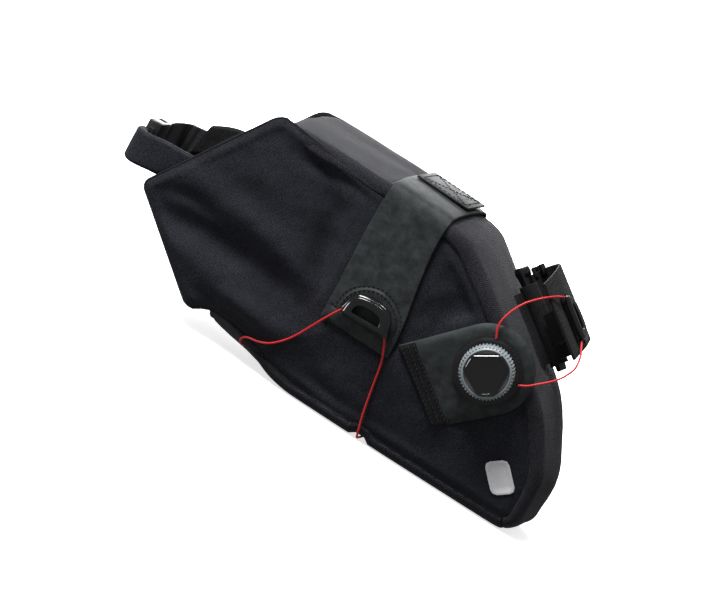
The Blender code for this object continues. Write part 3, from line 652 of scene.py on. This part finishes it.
def side_panel(node, side, folds, material):
    """A side panel of soft cloth: pulled in at its seams, folded and pressed down under the straps."""
    outline = rim_of(node, side)
    half = 6.0
    bm = bmesh.new()
    face = bm.faces.new([bm.verts.new((x * MM, -half * MM, z * MM)) for x, z in outline])
    grown = bmesh.ops.extrude_face_region(bm, geom=[face])["geom"]
    bmesh.ops.translate(bm, vec=(0, 2 * half * MM, 0), verts=[g for g in grown if isinstance(g, bmesh.types.BMVert)])
    obj = object_from(bm, node + "_cloth")
    modify(obj, "REMESH", mode="VOXEL", voxel_size=1.25 * MM)
    modify(obj, "SMOOTH", factor=0.5, iterations=3)
    points = points_of(obj) / MM
    x, y, z = points.T
    depth = np.clip(1 - side * y / half, 0, 2)
    away = edge_distance(points[:, [0, 2]], outline)
    inside = ease(away / 8)
    lift = FOLD_GAIN * fold_height(x, z, folds) * inside
    free = under_straps(x, z, side)
    lift = np.where(lift > 0, lift * free, lift * (0.35 + 0.65 * free))
    lift -= SEAM_DIP * np.exp(-((away / 2.4) ** 2))
    lift += SEAM_RIDGE * np.exp(-(((away - 4.2) / 2.0) ** 2)) * free
    ripple = unevenness(x, z, side * 7.0, 0.045, 0.07)
    fine = unevenness(x, z, side * 3.0, 0.16, 0.16)
    lift += (ripple * 1.2 + fine * 0.25) * inside * free
    points[:, 1] = side * (swell(x, z) - depth + lift)
    put_points(obj, sag(points) * MM)
    return finish_piece(obj, material, "bag", node, slot="shell_fabric", mapped=True)


def run_along(points, outline):
    """How far round a closed outline each point (x, z) lies, read off by its direction from the middle."""
    middle = outline.mean(axis=0)
    closed = np.vstack([outline, outline[:1]])
    run = np.concatenate([[0.0], np.cumsum(np.linalg.norm(np.diff(closed, axis=0), axis=1))])
    turn = np.unwrap(np.arctan2(closed[:, 1] - middle[1], closed[:, 0] - middle[0]))
    if turn[-1] < turn[0]:
        turn, run = turn[::-1], run[::-1]
    spots = points - middle
    angle = turn[0] + np.mod(np.arctan2(spots[:, 1], spots[:, 0]) - turn[0], 2 * math.pi)
    return np.interp(angle, turn, run), max(run)


def within(points, outline):
    """Which points (x, z) a convex outline holds."""
    middle = outline.mean(axis=0)
    held = np.ones(len(points), bool)
    for a, b in zip(outline, np.roll(outline, -1, axis=0)):
        side = np.array((a[1] - b[1], b[0] - a[0]))
        held &= ((points - a) @ side) * ((middle - a) @ side) > 0
    return held


def hoop_panel(node, material, slot, outline, wave=0.35):
    """A panel that follows the bag's profile, smoothed and a little uneven. Its threads run round the bag."""
    obj = copy_of(node, node + "_cloth")
    subdivide(obj, 2)
    points = points_of(obj) / MM
    run, total = run_along(points[:, [0, 2]], outline)
    away = edge_distance(points[:, [0, 2]], outline)
    over = np.clip(GUSSET_WRAP - np.where(within(points[:, [0, 2]], outline), 0, away), 0, None)
    for i, p in enumerate(points):
        spoke = (p - BAG_HUB) * (1, 0, 1)
        size = np.linalg.norm(spoke)
        rise = noise.noise(Vector(p * 0.05)) * wave * 2 + noise.noise(Vector(p * 0.17)) * wave * 0.6
        if p[2] > FLAT_BASE:
            points[i] = p + spoke / max(size, 1) * rise
    across = points[:, 1] + np.clip(points[:, 1] / 20, -1, 1) * over
    put_points(obj, sag(points) * MM)
    spots = fresh_map(obj).data
    for face in obj.data.polygons:
        runs = [run[v] for v in face.vertices]
        wraps = max(runs) - min(runs) > total / 2
        for loop, v in zip(face.loop_indices, face.vertices):
            u = run[v] + (total if wraps and run[v] < total / 2 else 0)
            spots[loop].uv = (u * MM, across[v] * MM)
    return finish_piece(obj, material, "bag", node, slot=slot)


def seam_cords(material):
    """A bound seam in the gap between each side panel and the panels that wrap over it."""
    for node, side in (("side_panel_near", -1), ("side_panel_far", 1)):
        outline = rim_of(node, side)
        middle = outline.mean(axis=0)
        line = []
        for p in np.vstack([outline, outline[:1]]):
            away = (p - middle) / np.linalg.norm(p - middle)
            q = p + away * 0.3
            line.append((q[0], side * (float(swell(q[0], q[1])) - 1.5), q[1]))
        line = [Vector(p) * MM for p in sag(np.array(line))]
        piece = tube("seam_binding_" + node.split("_")[-1], line, 0.55 * MM, 8)
        finish_piece(piece, material, "bag", slot="shell_fabric")


def shell():
    cloth = woven("charcoal_canvas", "#040406", "#363841")
    # A paler copy of the canvas for the top and nose gusset: partly the gusset's own fabric, partly painted light
    # where these panels face the sun.
    pale = woven("charcoal_canvas_top_lit", "#060608", "#3b3c44", sheen=0.08)
    side_panel("side_panel_near", -1, NEAR_FOLDS, cloth)
    side_panel("side_panel_far", 1, FAR_FOLDS, cloth)
    outline = rim_of("side_panel_near", -1)
    hoop_panel("top_panel", pale, "gusset_fabric", outline)
    hoop_panel("nose_panel", pale, "gusset_fabric", outline)
    hoop_panel("base_panel", cloth, "shell_fabric", outline, wave=0.0)
    hoop_panel("rear_upper_panel", cloth, "shell_fabric", outline)
    hoop_panel("rear_lower_panel", cloth, "shell_fabric", outline)
    seam_cords(moulded("seam_tape", "#060607", 0.8))
    for node in ("base_stiffener", "mouth_stay_upper", "mouth_stay_lower"):
        keep(node, coated("black_board_" + node, "#0a0a0b", "#131314", rough=0.8))
    return cloth


def keep(node, material):
    obj = frame["nodes"][node]
    obj.data.materials.clear()
    obj.data.materials.append(material)


# ---------------------------------------------------------------- stitching

THREAD_SIDES = 6

class Stitches:
    """Thread laid as short, fat stitches on a surface, gathered into one piece."""

    def __init__(self, name):
        self.name = name
        self.bm = bmesh.new()

    def stitch(self, a, b, out, radius):
        along = (b - a).normalized()
        side = along.cross(out).normalized()
        rings = []
        for share, size, lift in ((0.0, 0.35, -0.5), (0.2, 0.9, 0.35), (0.8, 0.9, 0.35), (1.0, 0.35, -0.5)):
            middle = a.lerp(b, share) + out * radius * lift
            ring = []
            for k in range(THREAD_SIDES):
                angle = 2 * math.pi * k / THREAD_SIDES
                spoke = side * math.cos(angle) + out * math.sin(angle)
                ring.append(self.bm.verts.new(middle + spoke * radius * size))
            rings.append(ring)
        skin(self.bm, rings, capped=True)

    def row(self, line, normals, length=1.9, gap=0.6, radius=0.3):
        """Stitches along a line of points in metres; their own sizes are in millimetres."""
        run = run_of(line)
        pitch = (length + gap) * MM
        count = max(1, int(run[-1] / pitch))

        def at(s):
            i = min(max(k for k in range(len(run)) if run[k] <= s + 1e-9), len(line) - 2)
            t = (s - run[i]) / max(run[i + 1] - run[i], 1e-9)
            return line[i].lerp(line[i + 1], t), normals[i].lerp(normals[i + 1], t).normalized()

        for k in range(count):
            s = run[-1] * (k + 0.5) / count
            a, out = at(max(s - length * MM / 2, 0))
            b, _ = at(min(s + length * MM / 2, run[-1]))
            self.stitch(a, b, out, radius * MM)

    def done(self, material, body, slot):
        return finish_piece(object_from(self.bm, self.name), material, body, slot=slot)


def tree_of(*objects):
    """One searchable surface from several finished pieces."""
    points, faces = [], []
    for obj in objects:
        base = len(points)
        points += [v.co.copy() for v in obj.data.vertices]
        faces += [[base + i for i in p.vertices] for p in obj.data.polygons]
    return BVHTree.FromPolygons(points, faces)


def lay_on(tree, line, toward, lift=0.0):
    """Drops points onto a surface along a direction. Returns the points and the surface's normals."""
    laid, normals = [], []
    for p in line:
        hit, normal, _, _ = tree.ray_cast(Vector(p) - toward * 0.06, toward)
        if hit is None:
            hit, normal = Vector(p), -toward
        if normal.dot(toward) > 0:
            normal = -normal
        laid.append(hit + normal * lift * MM)
        normals.append(normal)
    return laid, normals


# ---------------------------------------------------------------- the rail strap and its guide

ARCH_SQUASH = 0.98  # the seat's arch is a little lower than a half circle

def soft_plate(name, outline, side, lift, thickness, material, *nodes, tree=None):
    """A patch of coated fabric with a closed outline in (x, z), laid on a side and rounded at its edges."""
    bm = bmesh.new()
    middle = sum((Vector(p) for p in outline), Vector((0, 0))) / len(outline)
    rows = []
    for share in (1.0, 0.94, 0.82, 0.64, 0.44, 0.22):
        ring = []
        raised = lift + thickness * (0.0 if share == 1.0 else 0.72 if share > 0.9 else 1.0)
        for p in outline:
            q = middle.lerp(Vector(p), share)
            if tree:
                hit, _ = lay_on(tree, [Vector((q.x, side * 75, q.y)) * MM], Vector((0, -side, 0)))
                y = abs(hit[0].y) / MM
            else:
                y = float(swell(q.x, q.y))
            ring.append(bm.verts.new(Vector((q.x, side * (y + raised), q.y)) * MM))
        rows.append(ring)
    centre = bm.verts.new(sum((v.co for v in rows[-1]), Vector()) / len(outline))
    skin(bm, rows)
    for i in range(len(outline)):
        bm.faces.new((rows[-1][i], rows[-1][(i + 1) % len(outline)], centre))
    skirt = [bm.verts.new(v.co - Vector((0, side * 0.6 * MM, 0))) for v in rows[0]]
    skin(bm, [skirt, rows[0]])
    bm.faces.new(skirt[::-1])
    return finish_piece(object_from(bm, name), material, "bag", *nodes, slot="coated_strap", mapped=True)


def arc_points(centre, radius, first, last, steps, squash=1.0):
    spots = []
    for k in range(steps + 1):
        angle = math.radians(first + (last - first) * k / steps)
        spots.append((centre[0] + radius * math.cos(angle), centre[1] + radius * squash * math.sin(angle)))
    return spots


def rail_strap(edge_lit_strap, rubber, thread):
    strap = copy_of("rail_strap", "rail_strap_band")
    bevel(strap, 0.25, 50, segments=1)
    subdivide(strap, 2)
    points = points_of(strap)
    for i, p in enumerate(points):
        points[i, 1] += noise.noise(Vector(p * 55)) * 0.35 * MM * (1 if p[1] > 0 else -1)
    put_points(strap, points)
    finish_piece(strap, edge_lit_strap, "bag", "rail_strap", slot="coated_strap", mapped=True)
    low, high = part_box("rail_patch")
    patch = copy_of("rail_patch", "rail_patch_top")
    bevel(patch, 0.45, 30, segments=3)
    finish_piece(patch, rubber, "bag", "rail_patch", slot="coated_strap", mapped=True)
    inset = Vector((3.0, 3.0, 0)) * MM
    a, b = low + inset, high - inset
    top = high.z + 0.05 * MM
    corners = [Vector((x, y, top)) for x, y in ((a.x, a.y), (b.x, a.y), (b.x, b.y), (a.x, b.y))]
    rows = Stitches("rail_patch_stitches")
    for first, last in ((0, 1), (1, 2), (2, 3), (3, 0), (0, 2), (1, 3)):
        rows.row([corners[first], corners[last]], [UP, UP], 2.2, 0.7, 0.32)
    rows.done(thread, "bag", "coated_strap")
    return strap


def rail_guide(strap, rubber, gloss, thread):
    """The moulded guide on its D-shaped seat, with two rows of stitches round it."""
    surface = tree_of(strap)
    low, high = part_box("rail_guide")
    x, z = (low.x + high.x) / 2 / MM, low.z / MM + 1.5
    half = (high.x - low.x) / 2 / MM
    seat = [(x - half - 3.6, z - 4.5), (x + half + 3.6, z - 4.5)]
    seat += arc_points((x, z + 2), half + 3.8, 0, 180, 16, ARCH_SQUASH)
    soft_plate("guide_seat", seat, -1, 0.0, 1.0, rubber, tree=surface)
    flap_low, flap_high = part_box("strap_end_flap")
    x0, x1 = flap_low.x / MM, flap_high.x / MM
    z0, z1 = flap_low.z / MM, flap_high.z / MM
    flap = [(x0, z0), (x1, z0), (x1, z1), (x0, z1)]
    flap = [p for a, b in zip(flap, flap[1:] + flap[:1]) for p in (a, tuple(Vector(a).lerp(Vector(b), 0.5)))]
    soft_plate("strap_end_fold", flap, -1, 0.0, 1.1, rubber, "strap_end_flap", tree=surface)
    guide = copy_of("rail_guide", "rail_guide_arch")
    bevel(guide, 0.3, 40)
    subdivide(guide, 1)
    finish_piece(guide, gloss, "bag", "rail_guide", slot="gloss_plastic", angle=50)
    guide_tube("rail_guide_tube", RAIL_LACE[18:28], 2.1, gloss, "bag")
    rows = Stitches("guide_stitches")
    flap_edge = [(x0 + (x1 - x0) * k / 8, z1 + 1.4) for k in range(9)]
    seams = (
        (arc_points((x, z + 2), half + 2.4, -14, 194, 40, ARCH_SQUASH), 1.1, 0.3),
        (arc_points((x, z + 2), half + 4.9, -14, 194, 40, ARCH_SQUASH), 0.05, 0.3),
        (flap_edge, 0.05, 0.28),
    )
    for seam, lift, radius in seams:
        laid, normals = lay_on(surface, [Vector((x, -80, z)) * MM for x, z in seam], Vector((0, 1, 0)), lift)
        rows.row(laid, normals, radius=radius)
    rows.done(thread, "bag", "coated_strap")


# ---------------------------------------------------------------- the dials

DIAL_SIDES, CAP_SIDES = 96, 144
CORNER_POWER = 22  # how sharply the cap's sides meet

def dial_place(side):
    joint = joints["dial_turn_" + side]
    out = Vector(joint["axis"]).normalized()
    across = UP.cross(out).normalized()
    place = Matrix((across, out.cross(across), out)).transposed().to_4x4()
    place.translation = Vector(joint["pos_m"])
    return place


def settle(obj, place):
    """Moves a piece modelled about its own axis to its place, with the place in its mesh."""
    choose(obj)
    obj.matrix_world = place
    bpy.context.view_layer.update()
    bpy.ops.object.transform_apply(location=True, rotation=True, scale=True)
    return obj


def disc(name, radius, low, high, sides=120):
    deselect()
    bpy.ops.mesh.primitive_cylinder_add(
        vertices=sides, radius=radius * MM, depth=(high - low) * MM, location=(0, 0, (high + low) / 2 * MM)
    )
    obj = bpy.context.object
    obj.name = name
    obj.data.name = name
    bpy.ops.object.transform_apply(location=True, rotation=True, scale=True)
    return obj


def pick_faces(obj, test):
    """Leaves edit mode on, with just the faces selected that pass the test."""
    choose(obj)
    bpy.ops.object.mode_set(mode="EDIT")
    bpy.ops.mesh.select_all(action="DESELECT")
    bpy.ops.mesh.select_mode(type="FACE")
    bpy.ops.object.mode_set(mode="OBJECT")
    for face in obj.data.polygons:
        face.select = test(face)
    bpy.ops.object.mode_set(mode="EDIT")


def side_index(face, count):
    return int(round(math.atan2(face.center.y, face.center.x) / (2 * math.pi) * count - 0.5)) % count


def extrude_up(distance):
    """The selected faces grown straight up, in millimetres, or sunk by a negative distance."""
    bpy.ops.mesh.extrude_region_move(TRANSFORM_OT_translate={"value": (0, 0, distance * MM)})


def knurl(obj, test, count, height):
    """Every second face of a ring's side that passes the test stands out as a tooth."""
    pick_faces(obj, lambda f: test(f) and side_index(f, count) % 2 == 0)
    bpy.ops.mesh.inset(thickness=0.12 * MM, use_individual=True)
    bpy.ops.mesh.extrude_faces_move(TRANSFORM_OT_shrink_fatten={"value": height * MM})


def dial_housing(side, place, plastic):
    """The fixed base: a round flange, and above it a short wall with teeth that the pawls ride on."""
    obj = disc("dial_flange_" + side, 19.0, 0.2, 1.5, DIAL_SIDES)
    pick_faces(obj, lambda f: f.normal.z > 0.9)
    bpy.ops.mesh.inset(thickness=1.6 * MM)
    extrude_up(0.9)
    bpy.ops.mesh.inset(thickness=0.5 * MM)
    extrude_up(2.6)
    knurl(obj, lambda f: abs(f.normal.z) < 0.3 and f.center.z > 2.6 * MM, DIAL_SIDES, 0.45)
    pick_faces(obj, lambda f: f.normal.z > 0.9 and f.center.z > 4.9 * MM)
    bpy.ops.mesh.inset(thickness=2.4 * MM)
    extrude_up(-2.4)
    bevel(obj, 0.14, 60)
    settle(obj, place)
    finish_piece(obj, plastic, "bag", "dial_housing_" + side, slot="black_plastic", angle=35)


def dial_grip(side, place, grip):
    """The ring that fingers turn: fine knurls round it, a chamfered brow and a well for the cap."""
    obj = disc("dial_ring_" + side, 14.5, 5.7, 12.4, DIAL_SIDES)
    pick_faces(obj, lambda f: f.normal.z > 0.9)
    for rise, share in ((1.5, 0.94), (0.5, 0.95)):
        extrude_up(rise)
        bpy.ops.transform.resize(value=(share, share, 1))
    bpy.ops.mesh.inset(thickness=0.5 * MM)
    extrude_up(-1.4)
    knurl(obj, lambda f: abs(f.normal.z) < 0.6 and f.center.xy.length > 13.2 * MM, DIAL_SIDES, 0.62)
    bevel(obj, 0.12, 50)
    settle(obj, place)
    finish_piece(obj, grip, "knob_" + side, "dial_grip_" + side, slot="grip_coating", angle=35)


def dial_cap(side, place, gloss):
    """The cap: three long sides with cut corners, a bright bevel and a faintly dished face, left plain."""
    turn, third = math.radians(-57.7), 2 * math.pi / 3
    rings = []
    # The cap's rings from its foot to its middle: share of the full radius and height above the cloth.
    levels = (
        (1.0, 12.0), (1.0, 14.6), (0.975, 15.1), (0.91, 15.7), (0.88, 15.8),
        (0.86, 15.5), (0.6, 15.4), (0.3, 15.35), (0.04, 15.35),
    )
    for share, height in levels:
        ring = []
        for k in range(CAP_SIDES):
            angle = 2 * math.pi * k / CAP_SIDES
            lobe = (angle - turn + math.pi / 3) % third - math.pi / 3
            sides = (10.3 / math.cos(math.pi / 3 - abs(lobe)), 12.7 / math.cos(lobe), 13.2)
            radius = sum(r**-CORNER_POWER for r in sides) ** (-1 / CORNER_POWER) * share
            ring.append(Vector((radius * math.cos(angle), radius * math.sin(angle), height)) * MM)
        rings.append(ring)
    obj = from_rings("dial_badge_" + side, rings)
    settle(obj, place)
    finish_piece(obj, gloss, "knob_" + side, "dial_cap_" + side, slot="gloss_plastic", angle=30)


def dials(plastic, gloss, grip):
    near, far = dial_place("near"), dial_place("far")
    for side, place in (("near", near), ("far", far)):
        dial_housing(side, place, plastic)
        dial_grip(side, place, grip)
        dial_cap(side, place, gloss)
        keep("dial_spool_" + side, plastic)
        keep("dial_axle_" + side, moulded("turned_steel_" + side, "#8f9193", 0.28, metallic=1.0))


def dial_tab(rubber, canvas, thread):
    """The tab under the near dial, sewn down along its straight edge, and the far dial's seat."""
    centre, lean = (24.5, 72.0), 46
    first, second = Vector((centre[0] - 47, centre[1] - 15)), Vector((centre[0] - 9, centre[1] - 43.5))
    outline = [(centre[0] - 47, centre[1] - 15)]
    outline += [tuple(first.lerp(second, k / 6)) for k in range(1, 7)]
    arc = arc_points(centre, 25.0, lean - 90, lean + 90, 28)
    outline += [tuple(second.lerp(Vector(arc[0]), k / 4)) for k in range(1, 4)]
    outline += arc
    outline += [tuple(Vector(arc[-1]).lerp(first, k / 5)) for k in range(1, 5)]
    soft_plate("dial_tab_cloth", outline, -1, 2.0, 2.0, rubber, "dial_tab_near")
    rows = Stitches("dial_tab_stitches")
    inward = Vector((math.cos(math.radians(lean)), math.sin(math.radians(lean))))
    strip = [first.lerp(second, 0.01 + 0.98 * k / 12) + inward * 0.7 for k in range(13)]
    strip += [first.lerp(second, 0.99 - 0.98 * k / 12) + inward * 9.6 for k in range(13)]
    soft_plate("dial_tab_binding", [tuple(q) for q in strip], -1, 3.9, 0.7, canvas)
    for step in (1.9, 5.2, 8.4):
        line = []
        for k in range(13):
            q = first.lerp(second, 0.03 + 0.94 * k / 12) + inward * step
            line.append(Vector((q.x, -(float(swell(q.x, q.y)) + 4.65), q.y)) * MM)
        rows.row(line, [Vector((0.12, -0.99, 0)).normalized()] * len(line))
    rows.done(thread, "bag", "coated_strap")
    seat = arc_points((-48.0, 68.0), 19.4, 0, 345, 23)
    soft_plate("far_dial_seat", seat, 1, 2.7, 1.6, rubber, "dial_seat_far")


# ---------------------------------------------------------------- the laces

RAIL_LACE = [
    (-66.5, 61.8, 62.0), (-71.0, 60.0, 54.0), (-79.0, 57.5, 38.0), (-88.5, 54.5, 20.0), (-95.0, 50.0, 8.0),
    (-97.0, 45.5, 2.4), (-97.0, 36.0, 1.9), (-97.0, 0.0, 1.9), (-97.0, -36.0, 1.9),
    (-97.6, -44.6, 2.4), (-97.2, -48.2, 5.8), (-94.6, -49.2, 9.2), (-87.6, -49.6, 13.1), (-81.0, -50.2, 18.8),
    (-73.7, -51.4, 28.2), (-67.8, -53.2, 39.0), (-63.6, -55.2, 47.2), (-60.2, -56.0, 53.4), (-57.4, -56.1, 58.4),
    (-56.2, -56.1, 62.9), (-54.6, -56.1, 66.1), (-51.7, -56.1, 68.3), (-44.7, -56.1, 69.4), (-37.7, -56.1, 69.1),
    (-34.5, -56.1, 67.3), (-32.6, -56.1, 64.4), (-31.6, -56.1, 60.8), (-30.2, -55.7, 57.4), (-28.2, -54.6, 53.5),
    (-26.2, -53.0, 48.4), (-24.6, -50.4, 42.4), (-22.2, -47.6, 28.5), (-19.3, -45.6, 14.2), (-17.3, -44.5, 7.0),
    (-16.2, -42.9, 2.4), (-16.0, -36.0, 1.2), (-16.0, 0.0, 1.2), (-16.0, 36.0, 1.2), (-16.2, 43.9, 2.2),
    (-18.0, 48.6, 9.5), (-21.6, 52.4, 24.0), (-24.4, 56.0, 40.0), (-27.6, 59.4, 52.0), (-30.4, 61.4, 60.0),
]
POST_LACE = [
    (19.9, -48.0, 89.2), (17.2, -47.8, 95.5), (17.8, -45.8, 103.0), (21.1, -41.6, 111.3), (25.7, -36.0, 117.3),
    (31.0, -28.5, 122.0), (34.4, -21.8, 123.8), (35.8, -18.2, 124.0), (36.6, -15.4, 123.6), (38.4, -13.2, 122.6),
    (41.0, -11.8, 121.2), (46.2, -11.3, 118.0), (51.4, -11.8, 114.4), (53.7, -13.2, 112.5), (55.0, -15.4, 111.0),
    (55.6, -18.4, 109.6), (57.4, -21.5, 107.0), (60.4, -25.0, 102.6), (62.0, -29.4, 96.6), (60.9, -33.0, 92.2),
    (58.9, -36.0, 88.2), (55.8, -39.0, 84.4), (51.8, -41.6, 80.6), (47.2, -43.2, 76.4), (42.9, -44.0, 74.0),
]
LACE_DIAMETER = 1.2 * MM


def lace(name, route, spacing):
    """A lace along its route over the soft shell: the piece, its middle line and its length."""
    line = smooth_line([Vector(p) * MM for p in sag(np.array(route))], spacing * MM)
    return tube(name, line, LACE_DIAMETER / 2, 10), line, run_of(line)[-1]


def laces(red):
    piece, line, length = lace("rail_lace_braid", RAIL_LACE, 2.0)
    finish_piece(piece, red, "bag", "lace_rail", slot="red_lace")
    piece, line, length = lace("post_lace_braid", POST_LACE, 1.5)
    choose(piece)
    bpy.ops.object.shade_smooth_by_angle(angle=math.radians(40))
    piece.data.materials.append(red)
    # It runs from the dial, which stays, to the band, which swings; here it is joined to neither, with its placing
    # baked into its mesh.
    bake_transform(piece)
    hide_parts("lace_post")


# ---------------------------------------------------------------- the seatpost band


def refined(node, name, material, body, slot, width=0.25, levels=2):
    """A CAD node with its edges rounded and its faces smoothed."""
    obj = copy_of(node, name)
    bevel(obj, width, 45)
    if levels:
        subdivide(obj, levels)
    return finish_piece(obj, material, body, node, slot=slot, mapped=True)


def guide_tube(name, route, radius, material, body):
    """The moulded arch that the lace runs inside."""
    line = smooth_line([Vector(p) * MM for p in route], 0.8 * MM)
    return finish_piece(tube(name, line, radius * MM, 16), material, body, slot="gloss_plastic", angle=60)


SLOPE_ALONG, SLOPE_OUT = Vector((0.8211, 0, -0.5708)), Vector((0.5708, 0, 0.8211))
ROD_CENTRE, ROD_LIFT = Vector((5.594, 0, 120.047)), 9.8
HOOK_SHIFT = 4.6  # along the rod, in millimetres


def on_slope(run, across, lift):
    """A point over the nose slope: how far down it, how far to the side and how high above its cloth."""
    return (ROD_CENTRE + SLOPE_ALONG * run + SLOPE_OUT * (lift - ROD_LIFT) + Vector((0, across, 0))) * MM


def sleeve_saddle(canvas, thread):
    """The fold of canvas that joins the sleeve to the nose, sewn down along both its feet."""
    section = (
        (-9.5, -1.5), (-9.5, 0.9), (-7.6, 1.3), (-5.0, 2.2), (-3.6, 4.2), (-3.2, 6.4),
        (3.2, 6.4), (3.6, 4.2), (5.0, 2.2), (7.6, 1.3), (9.5, 0.9), (9.5, -1.5),
    )
    runs = [10.5 + 41 * k / 12 for k in range(13)]
    piece = from_rings("sleeve_saddle", [[on_slope(run, *spot) for spot in section] for run in runs])
    finish_piece(piece, canvas, "bag", slot="black_webbing", mapped=True)
    rows = Stitches("sleeve_saddle_stitches")
    for across in (-7.2, 7.2):
        rows.row([on_slope(run, across, 1.45) for run in runs], [SLOPE_OUT] * len(runs))
    rows.done(thread, "bag", "black_webbing")


def band_stitches(thread):
    """A row of stitches just inside the free end's three edges."""
    rows = Stitches("post_band_stitches")
    out = (SLOPE_OUT * 0.978 + Vector((0, -0.209, 0))).normalized()
    corners = [np.array(corner) for corner in ((10.4, -15), (10.4, -26.8), (49.6, -26.8), (49.6, -15))]

    def spot(run, across):
        return on_slope(run - 0.22 * (across + 13), across, 28.3 + (across + 8) * 0.2143) + out * 1.02 * MM

    for first, last in zip(corners, corners[1:]):
        line = [spot(*(first + (last - first) * k / 8)) for k in range(9)]
        rows.row(line, [out] * 9, 1.8, 0.6, 0.28)
    rows.done(thread, "post_band", "black_webbing")


def seatpost_band(webbing, gloss, canvas, thread):
    sleeve_saddle(canvas, thread)
    band_stitches(thread)
    refined("post_sleeve", "post_sleeve_cloth", canvas, "bag", "black_webbing")
    refined("post_rod", "post_rod_round", gloss, "bag", "gloss_plastic")
    refined("post_band", "post_band_cloth", canvas, "post_band", "black_webbing")
    refined("post_webbing", "post_webbing_ribbed", webbing, "post_band", "black_webbing")
    refined("post_pull_tab", "post_pull_tab_ribbed", webbing, "post_band", "black_webbing")
    refined("post_guide", "post_guide_arch", gloss, "post_band", "black_plastic", levels=1)
    guide_tube("post_guide_tube", POST_LACE[7:16], 1.8, gloss, "post_band")
    hook = refined("post_hook", "post_hook_round", gloss, "post_band", "gloss_plastic")
    put_points(hook, points_of(hook) + np.array(joints["band_swing"]["axis"]) * HOOK_SHIFT * MM)


# ---------------------------------------------------------------- the roll and its buckle


def roll_half(name, keep_near, material):
    """One arm of the closed roll, cut from the whole at its middle, with its far arm lifted."""
    obj = copy_of("roll_top", name)
    bm = bmesh.new()
    bm.from_mesh(obj.data)
    cut = bmesh.ops.bisect_plane(
        bm, geom=bm.verts[:] + bm.edges[:] + bm.faces[:], plane_co=(0, 4 * MM, 0), plane_no=(0, 1, 0),
        clear_outer=keep_near, clear_inner=not keep_near,
    )["geom_cut"]
    bmesh.ops.holes_fill(bm, edges=[g for g in cut if isinstance(g, bmesh.types.BMEdge)], sides=0)
    bm.to_mesh(obj.data)
    bm.free()
    bevel(obj, 0.8, 45)
    subdivide(obj, 2)
    raise_far(obj)
    return finish_piece(obj, material, "bag", "roll_top", slot="shell_fabric", mapped=True)


def raise_far(obj):
    """The far arm of the roll climbs towards its root, and the near arm's tip stands a little further out."""
    points = points_of(obj) / MM
    x, y, z = points.T
    climb = ramp(y, 15, 14)
    tip = ramp(x, -186, -14) * ramp(y, 8, -16)
    points[:, 2] += (2 + 12 * ramp(x, -207, 36)) * climb - 1.5 * tip
    points[:, 0] -= 3.2 * tip
    put_points(obj, points * MM)


def roll_top(cloth, canvas, webbing, plastic):
    roll_half("roll_arm_near", True, cloth)
    roll_half("roll_arm_far", False, canvas)
    far = refined("roll_webbing_far", "roll_webbing_far_ribbed", webbing, "bag", "black_webbing")
    raise_far(far)
    # Its root is drawn on towards the roll, which it would otherwise stop short of.
    points = points_of(far) / MM
    points[:, 0] += 9.5 * ramp(points[:, 0], -199, 6) * ramp(points[:, 1], 34, 4)
    put_points(far, points * MM)
    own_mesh(far)
    refined("roll_webbing_near", "roll_webbing_near_ribbed", webbing, "bag", "black_webbing")
    refined("buckle_socket", "buckle_socket_shell", plastic, "bag", "black_plastic", width=0.3, levels=0)
    for node, body in (
        ("buckle_plug", "buckle_plug"), ("buckle_tongue", "buckle_plug"), ("buckle_bar", "buckle_plug"),
        ("buckle_prong_lower", "prong_lower"), ("buckle_prong_upper", "prong_upper"),
    ):
        refined(node, node + "_shell", plastic, body, "black_plastic", width=0.2, levels=1)


def reflective_mark(film):
    """A plain rounded patch of film with a raised rim."""
    obj = copy_of("reflective_mark", "reflective_mark_film")
    pick_faces(obj, lambda f: f.normal.y < -0.7)
    bpy.ops.mesh.inset(thickness=1.3 * MM)
    bpy.ops.mesh.inset(thickness=0.15 * MM, depth=-0.12 * MM)
    bevel(obj, 0.08, 40)
    put_points(obj, sag(points_of(obj) / MM) * MM)
    finish_piece(obj, film, "bag", "reflective_mark", slot="reflective_film")


def build():
    lifted, across, back = place_camera()
    place_light(lifted, across, back)
    cloth = shell()
    rubber = coated("coated_patch_rubber", "#1f2223", "#363a3b")
    # This strap's sharp edges are painted pale as a highlight.
    edge_lit_strap = coated("coated_strap_rubber", "#212425", "#3a3e3f", edge="#8f9495")
    thread = moulded("black_thread", "#0d0e0f", 0.7)
    webbing = ribbed()
    canvas = woven("black_nylon_canvas", "#050506", "#26272a")
    plastic = moulded("black_acetal", "#0c0c0e", 0.42)
    gloss = moulded("gloss_black_nylon", "#08090a", 0.15, grain=0.005, coat=0.35)
    grip = moulded("silver_grip_coating", "#7d8487", 0.38)
    strap = rail_strap(edge_lit_strap, rubber, thread)
    rail_guide(strap, rubber, gloss, thread)
    dials(plastic, gloss, grip)
    dial_tab(rubber, canvas, thread)
    laces(braided())
    seatpost_band(webbing, gloss, canvas, thread)
    roll_top(cloth, canvas, webbing, plastic)
    reflective_mark(beaded())
    deselect()


build()
